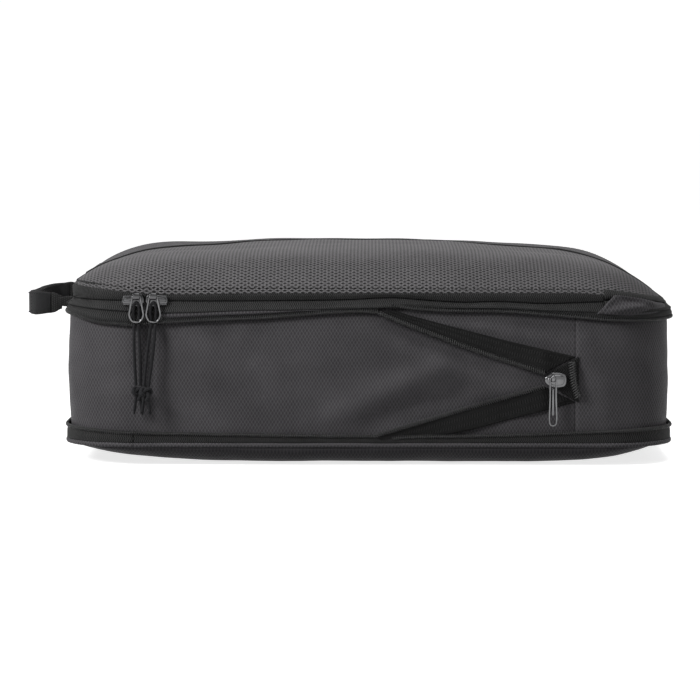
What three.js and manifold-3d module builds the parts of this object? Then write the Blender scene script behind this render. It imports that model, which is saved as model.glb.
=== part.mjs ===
// A compression packing cube: a soft, zipped luggage organiser, standing full on its bottom panel.
// Millimetres, +Z up, +X along the long side, the pulls and the compression slider on the -Y side.
// The origin is the centre of the flat patch of the bottom panel that it rests on.
import * as THREE from "three";
import { mergeVertices } from "three/addons/utils/BufferGeometryUtils.js";
import Module from "manifold-3d";

const wasm = await Module();
wasm.setup();

// ---- Driving dimensions -------------------------------------------------------------------
const LENGTH = 356; // body, along X
const WIDTH = 254; // body, along Y
const CORNER = 39; // plan radius of the four corners
const WALL = 1.6; // thickness that stands for the fabric of the body
const GAP = 0.3; // between pieces that are sewn together
const CORNER_STEPS = 5;

// Heights of the seams and zips.
const PAN_TOP = 11.2; // top edge of the dished bottom panel
const FOLD_TOP = 13.7; // top of the folded edge above it
const LOW_COIL = 18.6; // compression coil sewn to the bottom
const HIGH_COIL = 89.3; // compression coil sewn to the rim
const GUSSET_TOP = 93;
const RIM_TOP = 94.9; // top of the rim strip
const MAIN_ZIP = 98.5; // centre of the main zip's chain
const LID_EDGE = 103.3; // where the lid's panels start
const DOME = 23.8; // how far the stuffed lid rises above its edge

// Distances outwards from the body's outline.
const GUSSET_FACE = -1.2;
const ZIP_TAPE = [1.3, 2.1]; // compression tape, inner and outer face
const COIL_OFF = 1.7; // compression coil's centre
const COIL_R = 1.0;
const MAIN_TAPE = [-1.4, -0.6];
const MAIN_GAP = 0.8; // half the slot between the main zip's two tapes

const START_X = 110.5; // the compression slider, parked at the zip's start
const START_Z = 51.5;
const GUSSET_SEAM_X = 121; // vertical seam that joins the two gusset strips
const ZIP_END_X = 139; // the main zip ends where the corner by the hinge begins

const FABRIC = { color: 0x38363a, roughness: 0.9, metalness: 0 };
const MESH = { color: 0x5a585c, roughness: 0.95, metalness: 0 };
const TAPE = { color: 0x1c1c1c, roughness: 0.9, metalness: 0 };
const COIL = { color: 0x151515, roughness: 0.5, metalness: 0 };
const METAL = { color: 0x6e7072, roughness: 0.35, metalness: 1 };
const WEB = { color: 0x161616, roughness: 0.9, metalness: 0 };

// ---- The outline, walked anticlockwise from the front-left corner's end ---------------------
const CORNER_ARC = (Math.PI / 2) * CORNER;
const LONG_RUN = LENGTH - 2 * CORNER;
const SHORT_RUN = WIDTH - 2 * CORNER;
const cx = LENGTH / 2 - CORNER;
const cy = WIDTH / 2 - CORNER;
// Each side: its run, the direction walked, its outward normal, its first point, and the centre of
// the corner that ends it.
const SIDES = [
  { run: LONG_RUN, dir: [1, 0], out: [0, -1], from: [-cx, -WIDTH / 2], centre: [cx, -cy] },
  { run: SHORT_RUN, dir: [0, 1], out: [1, 0], from: [LENGTH / 2, -cy], centre: [cx, cy] },
  { run: LONG_RUN, dir: [-1, 0], out: [0, 1], from: [cx, WIDTH / 2], centre: [-cx, cy] },
  { run: SHORT_RUN, dir: [0, -1], out: [-1, 0], from: [-LENGTH / 2, cy], centre: [-cx, -cy] },
];
const AROUND = 2 * (LONG_RUN + SHORT_RUN) + 4 * CORNER_ARC;

// The point and outward normal at a distance along the outline.
function outlineAt(distance) {
  let s = ((distance % AROUND) + AROUND) % AROUND;
  for (const { run, dir, out, from, centre } of SIDES) {
    if (s <= run) return { x: from[0] + dir[0] * s, y: from[1] + dir[1] * s, nx: out[0], ny: out[1] };
    s -= run;
    if (s <= CORNER_ARC) {
      const turn = s / CORNER;
      const nx = out[0] * Math.cos(turn) - out[1] * Math.sin(turn);
      const ny = out[0] * Math.sin(turn) + out[1] * Math.cos(turn);
      return { x: centre[0] + nx * CORNER, y: centre[1] + ny * CORNER, nx, ny };
    }
    s -= CORNER_ARC;
  }
  return outlineAt(0);
}

// Where a sweep needs a station: the ends and thirds of each straight side, and steps round each corner.
const STATIONS = [];
for (let side = 0, s = 0; side < 4; side++) {
  for (const share of [0, 1 / 3, 2 / 3]) STATIONS.push(s + share * SIDES[side].run);
  s += SIDES[side].run;
  for (let k = 0; k < CORNER_STEPS; k++) STATIONS.push(s + (k / CORNER_STEPS) * CORNER_ARC);
  s += CORNER_ARC;
}
const FRONT = (x) => x + cx; // distance along the outline of a point on the front
const BACK = (x) => LONG_RUN + SHORT_RUN + 2 * CORNER_ARC + (cx - x);

function stationsBetween(from, to) {
  const inside = [-1, 0, 1].flatMap((lap) => STATIONS.map((s) => s + lap * AROUND));
  return [from, ...inside.filter((s) => s > from + 0.5 && s < to - 0.5), to];
}

// ---- Mesh helpers ----------------------------------------------------------------------------
function geometryFrom(points, faces) {
  const geometry = new THREE.BufferGeometry();
  geometry.setAttribute("position", new THREE.Float32BufferAttribute(points.flat(), 3));
  geometry.setIndex(faces.flat());
  return geometry;
}

function toSolid(geometry) {
  const bare = geometry.index ? geometry.toNonIndexed() : geometry.clone();
  bare.deleteAttribute("normal");
  bare.deleteAttribute("uv");
  const merged = mergeVertices(bare, 1e-4);
  return new wasm.Manifold(
    new wasm.Mesh({
      numProp: 3,
      vertProperties: new Float32Array(merged.attributes.position.array),
      triVerts: new Uint32Array(merged.index.array),
    }),
  );
}

function toGeometry(solid) {
  const mesh = solid.getMesh();
  const geometry = new THREE.BufferGeometry();
  geometry.setAttribute("position", new THREE.BufferAttribute(new Float32Array(mesh.vertProperties), 3));
  geometry.setIndex(new THREE.BufferAttribute(new Uint32Array(mesh.triVerts), 1));
  return geometry;
}

const joined = (...geometries) =>
  toGeometry(geometries.map(toSolid).reduce((whole, piece) => whole.add(piece)));

// Sweeps a section of [outwards, up] points, listed anticlockwise, along the outline.
// Without from and to it goes all the way round.
function sweep(section, from, to) {
  const open = from !== undefined;
  const stops = open ? stationsBetween(from, to) : STATIONS;
  const n = section.length;
  const points = stops.flatMap((s) => {
    const { x, y, nx, ny } = outlineAt(s);
    return section.map(([off, z]) => [x + nx * off, y + ny * off, z]);
  });
  const faces = [];
  const spans = open ? stops.length - 1 : stops.length;
  for (let i = 0; i < spans; i++) {
    const a = i * n;
    const b = ((i + 1) % stops.length) * n;
    for (let j = 0; j < n; j++) {
      const k = (j + 1) % n;
      faces.push([a + j, b + j, b + k], [a + j, b + k, a + k]);
    }
  }
  if (open) {
    const last = (stops.length - 1) * n;
    for (let j = 1; j < n - 1; j++) faces.push([0, j, j + 1], [last, last + j + 1, last + j]);
  }
  return geometryFrom(points, faces);
}

// Closed loops joined one to the next, with each end filled by a fan to a centre point.
function loft(rings, firstCentre, lastCentre) {
  const n = rings[0].length;
  const points = [...rings.flat(), firstCentre, lastCentre];
  const first = rings.length * n;
  const last = first + 1;
  const top = (rings.length - 1) * n;
  const faces = [];
  for (let i = 0; i < n; i++) {
    const next = (i + 1) % n;
    for (let k = 0; k < rings.length - 1; k++) {
      const a = k * n;
      const b = a + n;
      faces.push([a + i, a + next, b + next], [a + i, b + next, b + i]);
    }
    faces.push([first, next, i], [last, top + i, top + next]);
  }
  return geometryFrom(points, faces);
}

const rectangle = (off0, off1, z0, z1) => [[off0, z0], [off1, z0], [off1, z1], [off0, z1]];

function bead(off, z, radius, sides = 6) {
  return Array.from({ length: sides }, (_, k) => {
    const a = ((k + 0.5) / sides) * 2 * Math.PI;
    return [off + radius * Math.cos(a), z + radius * Math.sin(a)];
  });
}

const vector = ([x, y, z]) => new THREE.Vector3(x, y, z);
const curveThrough = (points, closed = false) =>
  new THREE.CatmullRomCurve3(points.map(vector), closed, "centripetal");

// A round bar along an open curve.
function tube(points, radius, steps, sides = 8) {
  const section = new THREE.Shape();
  section.absarc(0, 0, radius, 0, 2 * Math.PI);
  return new THREE.ExtrudeGeometry(section, {
    extrudePath: curveThrough(points),
    steps,
    curveSegments: sides / 2,
    bevelEnabled: false,
  });
}

const flat = (points) => points.map(([x, z]) => new THREE.Vector2(x, z));

// A flat plate on the front: an outline of [x, z] points between two distances outwards.
function frontPlate(outline, off0, off1, curveSegments = 4) {
  const shape = outline instanceof THREE.Shape ? outline : new THREE.Shape(flat(outline));
  const depth = off1 - off0;
  const plate = new THREE.ExtrudeGeometry(shape, { depth, bevelEnabled: false, curveSegments });
  return plate.rotateX(Math.PI / 2).translate(0, -WIDTH / 2 - off0, 0);
}

const frontPoint = (x, z, off) => [x, -WIDTH / 2 - off, z];

const cube = new THREE.Group();
function piece(name, geometry, look) {
  const mesh = new THREE.Mesh(geometry, new THREE.MeshStandardMaterial(look));
  mesh.name = name;
  cube.add(mesh);
  return mesh;
}

// ---- Bottom: a shallow pan of fabric, flat where it rests -------------------------------------
const PAN_PROFILE = [[-36, 0], [-24, 0.5], [-12, 1.9], [-4, 4.6], [1.2, 8.6], [1.2, PAN_TOP]];
const PAN_INSIDE = [[-0.6, PAN_TOP], [-0.6, 9.4], [-5.2, 6.1], [-12.6, 3.5], [-24.2, 2.1], [-36, WALL]];
const loopAt = (off, z) =>
  STATIONS.map((s) => {
    const { x, y, nx, ny } = outlineAt(s);
    return [x + nx * off, y + ny * off, z];
  });
piece(
  "bottom_panel",
  loft([...PAN_PROFILE, ...PAN_INSIDE].map(([off, z]) => loopAt(off, z)), [0, 0, 0], [0, 0, WALL]),
  FABRIC,
);
piece("bottom_edge_fold", sweep(rectangle(GUSSET_FACE - WALL, 1.5, PAN_TOP + GAP, FOLD_TOP)), FABRIC);
piece("inner_bottom_binding", sweep(rectangle(-4.2, -3.1, FOLD_TOP + GAP, LOW_COIL + 0.9)), TAPE);

// ---- Gusset: two strips of fabric that fold away when the cube is compressed -------------------
const gussetSection = rectangle(GUSSET_FACE - WALL, GUSSET_FACE, FOLD_TOP + GAP, GUSSET_TOP);
const seamGap = GAP / 2;
piece(
  "gusset_hinge_end",
  sweep(gussetSection, FRONT(GUSSET_SEAM_X) + seamGap, BACK(GUSSET_SEAM_X) - seamGap),
  FABRIC,
);
piece(
  "gusset_main",
  sweep(gussetSection, BACK(GUSSET_SEAM_X) + seamGap, FRONT(GUSSET_SEAM_X) + AROUND - seamGap),
  FABRIC,
);

// ---- Compression zip: two runs all the way round, and the two tails that meet at its start ------
piece("lower_zip_tape", sweep(rectangle(...ZIP_TAPE, FOLD_TOP + GAP, LOW_COIL - COIL_R - GAP)), TAPE);
piece("lower_zip_coil", sweep(bead(COIL_OFF, LOW_COIL, COIL_R)), COIL);
piece("upper_zip_coil", sweep(bead(COIL_OFF, HIGH_COIL, COIL_R)), COIL);
piece("upper_zip_tape", sweep(rectangle(...ZIP_TAPE, HIGH_COIL + COIL_R + GAP, RIM_TOP)), TAPE);

// Each tail runs from its coil's line down or up to the slider; [x, z] along the coil edge, then along
// the sewn edge.
const UPPER_TAIL = {
  coil: [[13, 86.6], [30, 81.2], [66, 68], [104, 55.4]],
  sewn: [[118, 63.6], [92, 70.4], [64, 78], [24, 87.4]],
};
const LOWER_TAIL = {
  coil: [[10, 21.2], [28, 25.8], [66, 37], [104, 47.6]],
  sewn: [[118, 40.4], [84, 30], [58, 22.9], [40, 20.6]],
};
const TAIL_FACE = [1.3, 2.1];
function tail(which, { coil, sewn }, side) {
  const clear = side * (COIL_R + GAP); // the tape starts beside the coil
  const edge = coil.map(([x, z]) => [x, z + clear]);
  piece(`${which}_start_tape`, frontPlate([...edge, ...sewn], ...TAIL_FACE), TAPE);
  const line = coil.map(([x, z]) => frontPoint(x, z, COIL_OFF));
  piece(`${which}_start_coil`, tube(line, COIL_R * 0.9, 12, 6), COIL);
}
tail("upper", UPPER_TAIL, 1);
tail("lower", LOWER_TAIL, -1);

// The two tapes' ends, sewn together behind the parked slider, and the spare length of coil that
// curls off them.
const TAPE_END_FACE = [-0.7, 0.1]; // under the coils, which pass over it when the cube is compressed
const TAPE_END = [[118.4, 40.5], [123.4, 40.5], [123.4, 63], [118.4, 63]];
piece("start_tape_end", frontPlate(TAPE_END, ...TAPE_END_FACE), TAPE);
const COIL_TAIL = [[120, 61.5], [120.6, 56], [121.2, 50], [123.6, 41]];
piece("start_coil_tail", tube(COIL_TAIL.map(([x, z]) => frontPoint(x, z, 4.6)), 1.5, 8, 6), COIL);

// ---- Rim: what the lid zips to ---------------------------------------------------------------
piece("rim_strip", sweep(rectangle(GUSSET_FACE - WALL, 1.0, GUSSET_TOP + GAP, RIM_TOP)), FABRIC);
piece("inner_rim_binding", sweep(rectangle(-4.2, -3.1, GUSSET_TOP - 6.6, GUSSET_TOP)), TAPE);

// The main zip goes round three sides; along the fourth a fold of fabric is the hinge.
const zipFrom = BACK(ZIP_END_X);
const zipTo = FRONT(ZIP_END_X) + AROUND;
const hingeFrom = FRONT(ZIP_END_X) + GAP;
const hingeTo = BACK(ZIP_END_X) - GAP;
const coilSection = (z0, z1) => rectangle(-2.8, MAIN_TAPE[0] - GAP, z0, z1);
const LOWER_HALF = [RIM_TOP + GAP, MAIN_ZIP - MAIN_GAP];
const UPPER_HALF = [MAIN_ZIP + MAIN_GAP, LID_EDGE - GAP];
const COIL_TALL = 1.5;
piece("main_zip_lower_tape", sweep(rectangle(...MAIN_TAPE, ...LOWER_HALF), zipFrom, zipTo), TAPE);
const lowerCoil = coilSection(LOWER_HALF[1] - COIL_TALL, LOWER_HALF[1]);
piece("main_zip_lower_coil", sweep(lowerCoil, zipFrom, zipTo), COIL);
piece("hinge_fabric_lower", sweep(rectangle(...MAIN_TAPE, ...LOWER_HALF), hingeFrom, hingeTo), FABRIC);

// A tab of fabric covers each end of the main zip.
const TAB_FACE = [0.3, 1.1];
const TAB_ROUND = (CORNER_ARC * 45) / 90; // it reaches half-way round the corner
const tabSection = rectangle(...TAB_FACE, RIM_TOP + GAP, LID_EDGE - 0.8);
piece("zip_end_tab_front", sweep(tabSection, FRONT(ZIP_END_X - 3), FRONT(ZIP_END_X) + TAB_ROUND), FABRIC);
piece("zip_end_tab_back", sweep(tabSection, BACK(ZIP_END_X) - TAB_ROUND, BACK(ZIP_END_X - 3)), FABRIC);

// ---- Lid: a stuffed dome, mesh in front of a curved seam and plain fabric behind it --------------
piece("main_zip_upper_tape", sweep(rectangle(...MAIN_TAPE, ...UPPER_HALF), zipFrom, zipTo), TAPE);
const upperCoil = coilSection(UPPER_HALF[0], UPPER_HALF[0] + COIL_TALL);
piece("main_zip_upper_coil", sweep(upperCoil, zipFrom, zipTo), COIL);
piece("hinge_fabric_upper", sweep(rectangle(...MAIN_TAPE, ...UPPER_HALF), hingeFrom, hingeTo), FABRIC);

const DOME_OFF = -0.6; // the dome's edge, from the outline
const FULL_END = 7; // the dome's fullness at the handle end, as an exponent
const SLACK_END = 3.9; // and at the hinge end
const LID_WALL = 1.5;
const fullness = (x) => THREE.MathUtils.lerp(FULL_END, SLACK_END, x / LENGTH + 0.5);
const domeHeight = (share, x) => LID_EDGE + DOME * (1 - share ** fullness(x));
function domeRing(share, drop) {
  return loopAt(DOME_OFF, 0).map(([x, y]) => [x * share, y * share, domeHeight(share, x * share) - drop]);
}
const SHARES = [0.25, 0.5, 0.68, 0.82, 0.91, 0.96];
const dome = loft(
  [
    ...SHARES.map((share) => domeRing(share, LID_WALL)),
    loopAt(DOME_OFF, 0).map(([x, y]) => [x * 0.988, y * 0.988, LID_EDGE]),
    ...[1, ...SHARES.toReversed()].map((share) => domeRing(share, 0)),
  ],
  [0, 0, LID_EDGE + DOME - LID_WALL],
  [0, 0, LID_EDGE + DOME],
);

const SEAM_MIDDLE = 45; // the seam's distance behind the centre, at the middle
const SEAM_SWEEP = 75; // and how much nearer the front it is at the ends
const SEAM_HALF = 0.9; // half the slot that the piping lies in
const seamY = (x) => SEAM_MIDDLE - SEAM_SWEEP * ((2 * x) / LENGTH) ** 2;
const FAR = 200;
const SEAM_XS = Array.from({ length: 17 }, (_, k) => -FAR + (k * FAR) / 8);
function lidPart(side) {
  const seam = SEAM_XS.map((x) => [x, seamY(x) + side * SEAM_HALF]);
  const walked = side > 0 ? seam : seam.toReversed();
  const outline = [...walked, [side * FAR, side * FAR], [-side * FAR, side * FAR]];
  const shape = new THREE.Shape(flat(outline));
  const cutter = new THREE.ExtrudeGeometry(shape, { depth: FAR, bevelEnabled: false });
  return toGeometry(toSolid(dome).intersect(toSolid(cutter)));
}
piece("lid_mesh_panel", lidPart(-1), MESH);
piece("lid_solid_panel", lidPart(1), FABRIC);

// How far out a point of the lid lies, from 0 at the centre to 1 at the edge.
function shareAt(x, y) {
  const half = [LENGTH / 2 + DOME_OFF, WIDTH / 2 + DOME_OFF];
  const r = CORNER + DOME_OFF;
  let [low, high] = [1e-3, 2];
  for (let k = 0; k < 40; k++) {
    const share = (low + high) / 2;
    const qx = Math.max(Math.abs(x / share) - (half[0] - r), 0);
    const qy = Math.max(Math.abs(y / share) - (half[1] - r), 0);
    if (Math.hypot(qx, qy) <= r) high = share;
    else low = share;
  }
  return high;
}
const PIPING_R = 0.55;
const pipingPoints = Array.from({ length: 19 }, (_, k) => {
  const x = -174 + (k * 348) / 18;
  const y = seamY(x);
  return [x, y, domeHeight(shareAt(x, y), x)];
});
piece("lid_seam_piping", tube(pipingPoints, PIPING_R, 30, 6), TAPE);

// ---- Main zip's two sliders, nose to nose, each with a wire ring and a knotted cord ---------------
const SLIDER_LONG = 13;
const SLIDER_HALF_TALL = 3.6;
const RING_WIRE = 0.6;
const RING_OFF = 4.0; // the hanging ring's plane, from the outline
const RING_TOP = MAIN_ZIP + 2.6;
const RING_TALL = 15.4;
const RING_HALF = 4.1;
const KNOT_Z = 44;

// The slider's plan, from its narrow tail to its broad nose.
function sliderPlate(tailX, noseX, z, half) {
  const away = Math.sign(noseX - tailX);
  const shape = new THREE.Shape();
  const points = [
    [tailX, -half * 0.72], [tailX + away * 5, -half * 0.8],
    [noseX - away * 2.5, -half], [noseX, -half * 0.45],
    [noseX, half * 0.45], [noseX - away * 2.5, half],
    [tailX + away * 5, half * 0.8], [tailX, half * 0.72],
  ];
  const turned = away > 0 ? points : points.toReversed();
  turned.forEach(([x, dz], k) => (k ? shape.lineTo(x, z + dz) : shape.moveTo(x, z + dz)));
  return shape;
}

// An arch standing on a slider's face, seen from the side, with a tunnel along X that a pull's bar
// runs through.
function bail(x0, x1, z, face, reach, rise, bar) {
  const arch = new THREE.Shape(flat([
    [-reach, 0], [reach, 0], [reach, rise - 1.2],
    [reach - 1.2, rise], [-reach + 1.2, rise], [-reach, rise - 1.2],
  ]));
  const inner = reach - bar;
  const tunnel = [[-inner, 0.9], [-inner, rise - bar], [inner, rise - bar], [inner, 0.9]];
  arch.holes.push(new THREE.Path(flat(tunnel)));
  const solid = new THREE.ExtrudeGeometry(arch, { depth: x1 - x0, bevelEnabled: false });
  // u becomes Z, v becomes outwards and the depth becomes X
  const y = -WIDTH / 2 - face;
  solid.applyMatrix4(new THREE.Matrix4().set(0, 0, 1, x0, 0, -1, 0, y, 1, 0, 0, z, 0, 0, 0, 1));
  return solid;
}

function mainSlider(which, tailX, noseX, lean, knotOut) {
  const z = MAIN_ZIP;
  const away = Math.sign(noseX - tailX);
  const face = [0.9, 2.1];
  const post = [noseX - away * 5, noseX - away * 1.2].sort((a, b) => a - b);
  const ringX = noseX - away * 4.6;
  const postPlate = [[post[0], z - 0.45], [post[1], z - 0.45], [post[1], z + 0.45], [post[0], z + 0.45]];
  piece(
    `main_slider_${which}`,
    joined(
      frontPlate(sliderPlate(tailX, noseX, z, SLIDER_HALF_TALL), ...face),
      frontPlate(sliderPlate(tailX, noseX, z, SLIDER_HALF_TALL), -4.9, -3.8),
      frontPlate(postPlate, -4.2, 1.4),
      bail(ringX - 2.2, ringX + 2.2, RING_TOP, face[1] - 0.4, 2.1, 4.4, 0.8),
    ),
    METAL,
  );
  // The ring: a drop shape whose top bar lies in the bail's tunnel.
  const bottom = RING_TOP - RING_TALL;
  const loop = [
    [-3.0, RING_TOP], [0, RING_TOP], [3.0, RING_TOP], [RING_HALF - 0.1, RING_TOP - 2],
    [RING_HALF, RING_TOP - 7], [RING_HALF, bottom + 4], [2.6, bottom + 0.9], [0, bottom],
    [-2.6, bottom + 0.9], [-RING_HALF, bottom + 4], [-RING_HALF, RING_TOP - 7],
    [-RING_HALF + 0.1, RING_TOP - 2],
  ];
  const wire = curveThrough(loop.map(([dx, dz]) => frontPoint(ringX + dx, dz, RING_OFF)), true);
  piece(`pull_ring_${which}`, new THREE.TubeGeometry(wire, 24, RING_WIRE, 6, true), METAL);

  // A doubled cord hangs from the ring to a knot with two short tails.
  const cordTop = bottom - RING_WIRE - 1.4;
  const knotTop = KNOT_Z + 4.2;
  for (const [leg, dx] of [["a", -1.3], ["b", 1.3]]) {
    const along = (share, spread) =>
      frontPoint(
        ringX + dx * spread + lean * share,
        THREE.MathUtils.lerp(cordTop, knotTop, share),
        RING_OFF + (knotOut - 1.6) * share,
      );
    const route = [along(0, 1), along(0.33, 1.3), along(0.67, 1.25), along(1, 1)];
    piece(`pull_cord_${which}_${leg}`, tube(route, 0.95, 8, 8), WEB);
  }
  const knotX = ringX + lean;
  const knotOff = RING_OFF + knotOut;
  const knot = new THREE.SphereGeometry(3.1, 8, 6)
    .scale(1.05, 0.95, 1.2)
    .translate(...frontPoint(knotX, KNOT_Z, knotOff));
  const tails = [-1, 1].map((side) =>
    tube([
      frontPoint(knotX + side * 0.9, KNOT_Z - 2, knotOff),
      frontPoint(knotX + side * 1.6, KNOT_Z - 7, knotOff),
      frontPoint(knotX + side * 2.2, KNOT_Z - 12, knotOff - 0.3),
    ], 0.95, 3, 8),
  );
  piece(`pull_knot_${which}`, joined(knot, ...tails), WEB);
}
// The right pull leans left, and its knot lies on the left one's.
mainSlider("left", -cx - SLIDER_LONG / 2, -cx + SLIDER_LONG / 2, 1, 2.2);
mainSlider("right", -cx + SLIDER_LONG * 1.5 + 0.8, -cx + SLIDER_LONG / 2 + 0.8, -4, 6.8);

// ---- Compression slider and its wire pull -----------------------------------------------------
const PULL_OFF = 6.1;
const PULL_TOP = START_Z + 1.2;
{
  const tailX = START_X + 6.4;
  const noseX = START_X - 6.4;
  const face = [3.1, 4.4];
  const post = [
    [noseX + 1.2, START_Z - 1.1], [noseX + 4.6, START_Z - 1.1],
    [noseX + 4.6, START_Z + 1.1], [noseX + 1.2, START_Z + 1.1],
  ];
  const bailX = START_X - 1.6;
  piece(
    "compression_slider_body",
    joined(
      frontPlate(sliderPlate(tailX, noseX, START_Z, 4.6), ...face),
      frontPlate(sliderPlate(tailX, noseX, START_Z, 4.6), -0.8, 0.3),
      frontPlate(post, -0.4, 3.6),
      bail(bailX - 1.0, bailX + 1.0, PULL_TOP, face[1] - 0.4, 2.2, 4.2, 0.9),
    ),
    METAL,
  );
  const half = 2.0;
  const foot = PULL_TOP - 28;
  const loop = [
    [-1.3, PULL_TOP], [0, PULL_TOP], [1.3, PULL_TOP], [half, PULL_TOP - 3], [half, PULL_TOP - 12],
    [half + 0.4, foot + 4], [1.6, foot + 0.8], [0, foot], [-1.6, foot + 0.8],
    [-half - 0.4, foot + 4], [-half, PULL_TOP - 12], [-half, PULL_TOP - 3],
  ];
  const wire = curveThrough(loop.map(([dx, z]) => frontPoint(bailX + dx, z, PULL_OFF)), true);
  piece("compression_pull_tab", new THREE.TubeGeometry(wire, 26, 0.62, 6, true), METAL);
}

// ---- Grab handle on the end opposite the hinge ---------------------------------------------------
const HANDLE_HALF = 60; // half the distance between its sewn ends
const ANCHOR_OFF = [ZIP_TAPE[1] + GAP, 10.5]; // the folded ends beside the loop, from the zip tape outwards
const ANCHOR_TALL = 5.6;
const ANCHOR_THICK = 3.6;
const HANDLE_OUT = LENGTH / 2 + 9.3; // where the loop starts, and flexes
const HANDLE_REACH = LENGTH / 2 + 29.6;
const HANDLE_Z = 93.6;
const STRAP = [12.5, 1.8];
const SLEEVE = [14.6, 4.4];
const handlePath = [
  [-HANDLE_OUT, -HANDLE_HALF], [-HANDLE_OUT - 6, -HANDLE_HALF + 0.5],
  [-HANDLE_REACH + 5, -HANDLE_HALF + 5], [-HANDLE_REACH, -HANDLE_HALF + 22],
  [-HANDLE_REACH, 0], [-HANDLE_REACH, HANDLE_HALF - 22],
  [-HANDLE_REACH + 5, HANDLE_HALF - 5], [-HANDLE_OUT - 6, HANDLE_HALF - 0.5],
  [-HANDLE_OUT, HANDLE_HALF],
].map(([x, y]) => [x, y, HANDLE_Z]);
const handleCurve = curveThrough(handlePath);
// Part of the handle's curve, between two shares of its length.
class Stretch extends THREE.Curve {
  constructor(whole, from, to) {
    super();
    Object.assign(this, { whole, from, to });
  }
  getPoint(t, target = new THREE.Vector3()) {
    return target.copy(this.whole.getPointAt(this.from + t * (this.to - this.from)));
  }
}
function bandShape([wide, thick], hole) {
  const corners = (w, t) =>
    flat([[-w / 2, -t / 2], [w / 2, -t / 2], [w / 2, t / 2], [-w / 2, t / 2]]);
  const shape = new THREE.Shape(corners(wide, thick));
  if (hole) shape.holes.push(new THREE.Path(corners(...hole).toReversed()));
  return shape;
}
const strap = new THREE.ExtrudeGeometry(bandShape(STRAP), {
  extrudePath: handleCurve,
  steps: 28,
  bevelEnabled: false,
});
piece("handle_strap", strap, WEB);
const SLEEVE_FROM = 0.04;
piece(
  "handle_label",
  new THREE.ExtrudeGeometry(bandShape(SLEEVE, [STRAP[0] + 0.8, STRAP[1] + 0.8]), {
    extrudePath: new Stretch(handleCurve, SLEEVE_FROM, 1 - SLEEVE_FROM),
    steps: 24,
    bevelEnabled: false,
  }),
  TAPE,
);
for (const [which, side] of [["front", -1], ["back", 1]]) {
  const folded = new THREE.BoxGeometry(ANCHOR_OFF[1] - ANCHOR_OFF[0], ANCHOR_THICK, ANCHOR_TALL);
  const x = -(LENGTH + ANCHOR_OFF[0] + ANCHOR_OFF[1]) / 2;
  const y = HANDLE_HALF + (STRAP[1] + ANCHOR_THICK) / 2 + GAP;
  piece(`handle_anchor_${which}`, folded.translate(x, side * y, HANDLE_Z), WEB);
}

export default cube;
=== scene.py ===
"""Looks of the packing cube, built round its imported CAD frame.

Helpers work in millimetres; meshes are in metres.
"""

import math

import bmesh
import bpy
import numpy as np
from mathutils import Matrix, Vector

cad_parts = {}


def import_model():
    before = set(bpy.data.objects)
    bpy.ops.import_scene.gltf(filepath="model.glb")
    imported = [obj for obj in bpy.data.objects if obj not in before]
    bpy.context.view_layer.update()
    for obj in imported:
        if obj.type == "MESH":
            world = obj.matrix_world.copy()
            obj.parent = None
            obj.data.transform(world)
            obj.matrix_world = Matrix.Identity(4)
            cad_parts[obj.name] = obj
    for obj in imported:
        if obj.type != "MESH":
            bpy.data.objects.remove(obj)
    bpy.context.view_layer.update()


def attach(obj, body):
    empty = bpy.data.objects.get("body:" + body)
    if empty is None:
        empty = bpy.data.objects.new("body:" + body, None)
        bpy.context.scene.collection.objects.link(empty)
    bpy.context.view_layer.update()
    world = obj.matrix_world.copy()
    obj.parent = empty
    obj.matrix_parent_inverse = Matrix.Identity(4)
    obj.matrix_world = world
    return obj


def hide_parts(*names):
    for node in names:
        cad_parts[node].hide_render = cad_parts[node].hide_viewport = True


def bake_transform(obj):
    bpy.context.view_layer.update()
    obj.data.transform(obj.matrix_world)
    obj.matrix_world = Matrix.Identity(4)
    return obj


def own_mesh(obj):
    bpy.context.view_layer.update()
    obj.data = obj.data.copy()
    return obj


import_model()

MM = 0.001

# ---- The cube's main sizes, as in the CAD --------------------------------------------------------
LENGTH = 356.0
WIDTH = 254.0
CORNER = 39.0
MAIN_ZIP = 98.5
LID_EDGE = 103.3
DOME = 23.8
GUSSET_FACE = -1.2
START_X = 110.5
START_Z = 51.5
GUSSET_SEAM_X = 121.0
ZIP_END_X = 139.0
HALF_X = LENGTH / 2 - CORNER  # corner centres
HALF_Y = WIDTH / 2 - CORNER

FRONT_Y = -WIDTH / 2
COIL_PITCH = 1.35
OPEN_PITCH = 1.3
STITCH_PITCH = 3.0
NET_PITCH = 4.3
STITCH_SHARE = 0.62  # how much of its pitch a stitch shows
COIL_WIRE = 0.3
END_BELLY = 2.1
CREASE_DEPTH = 1.5
RIPPLE_WAVES = 7

# ---- Camera --------------------------------------------------------------------------------------
CAMERA_FROM = Vector((0.0, FRONT_Y - 2000.0, 228.5)) * MM
CAMERA_TO = Vector((-11.0, FRONT_Y, 69.0)) * MM
camera_data = bpy.data.cameras.new("camera")
camera_data.lens = 174.5
camera_data.sensor_width = 36.0
camera_data.clip_start = 0.05
camera_data.clip_end = 30.0
camera = bpy.data.objects.new("camera", camera_data)
camera.location = CAMERA_FROM
camera.rotation_euler = (CAMERA_TO - CAMERA_FROM).to_track_quat("-Z", "Y").to_euler()
bpy.context.collection.objects.link(camera)
bpy.context.scene.camera = camera


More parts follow.
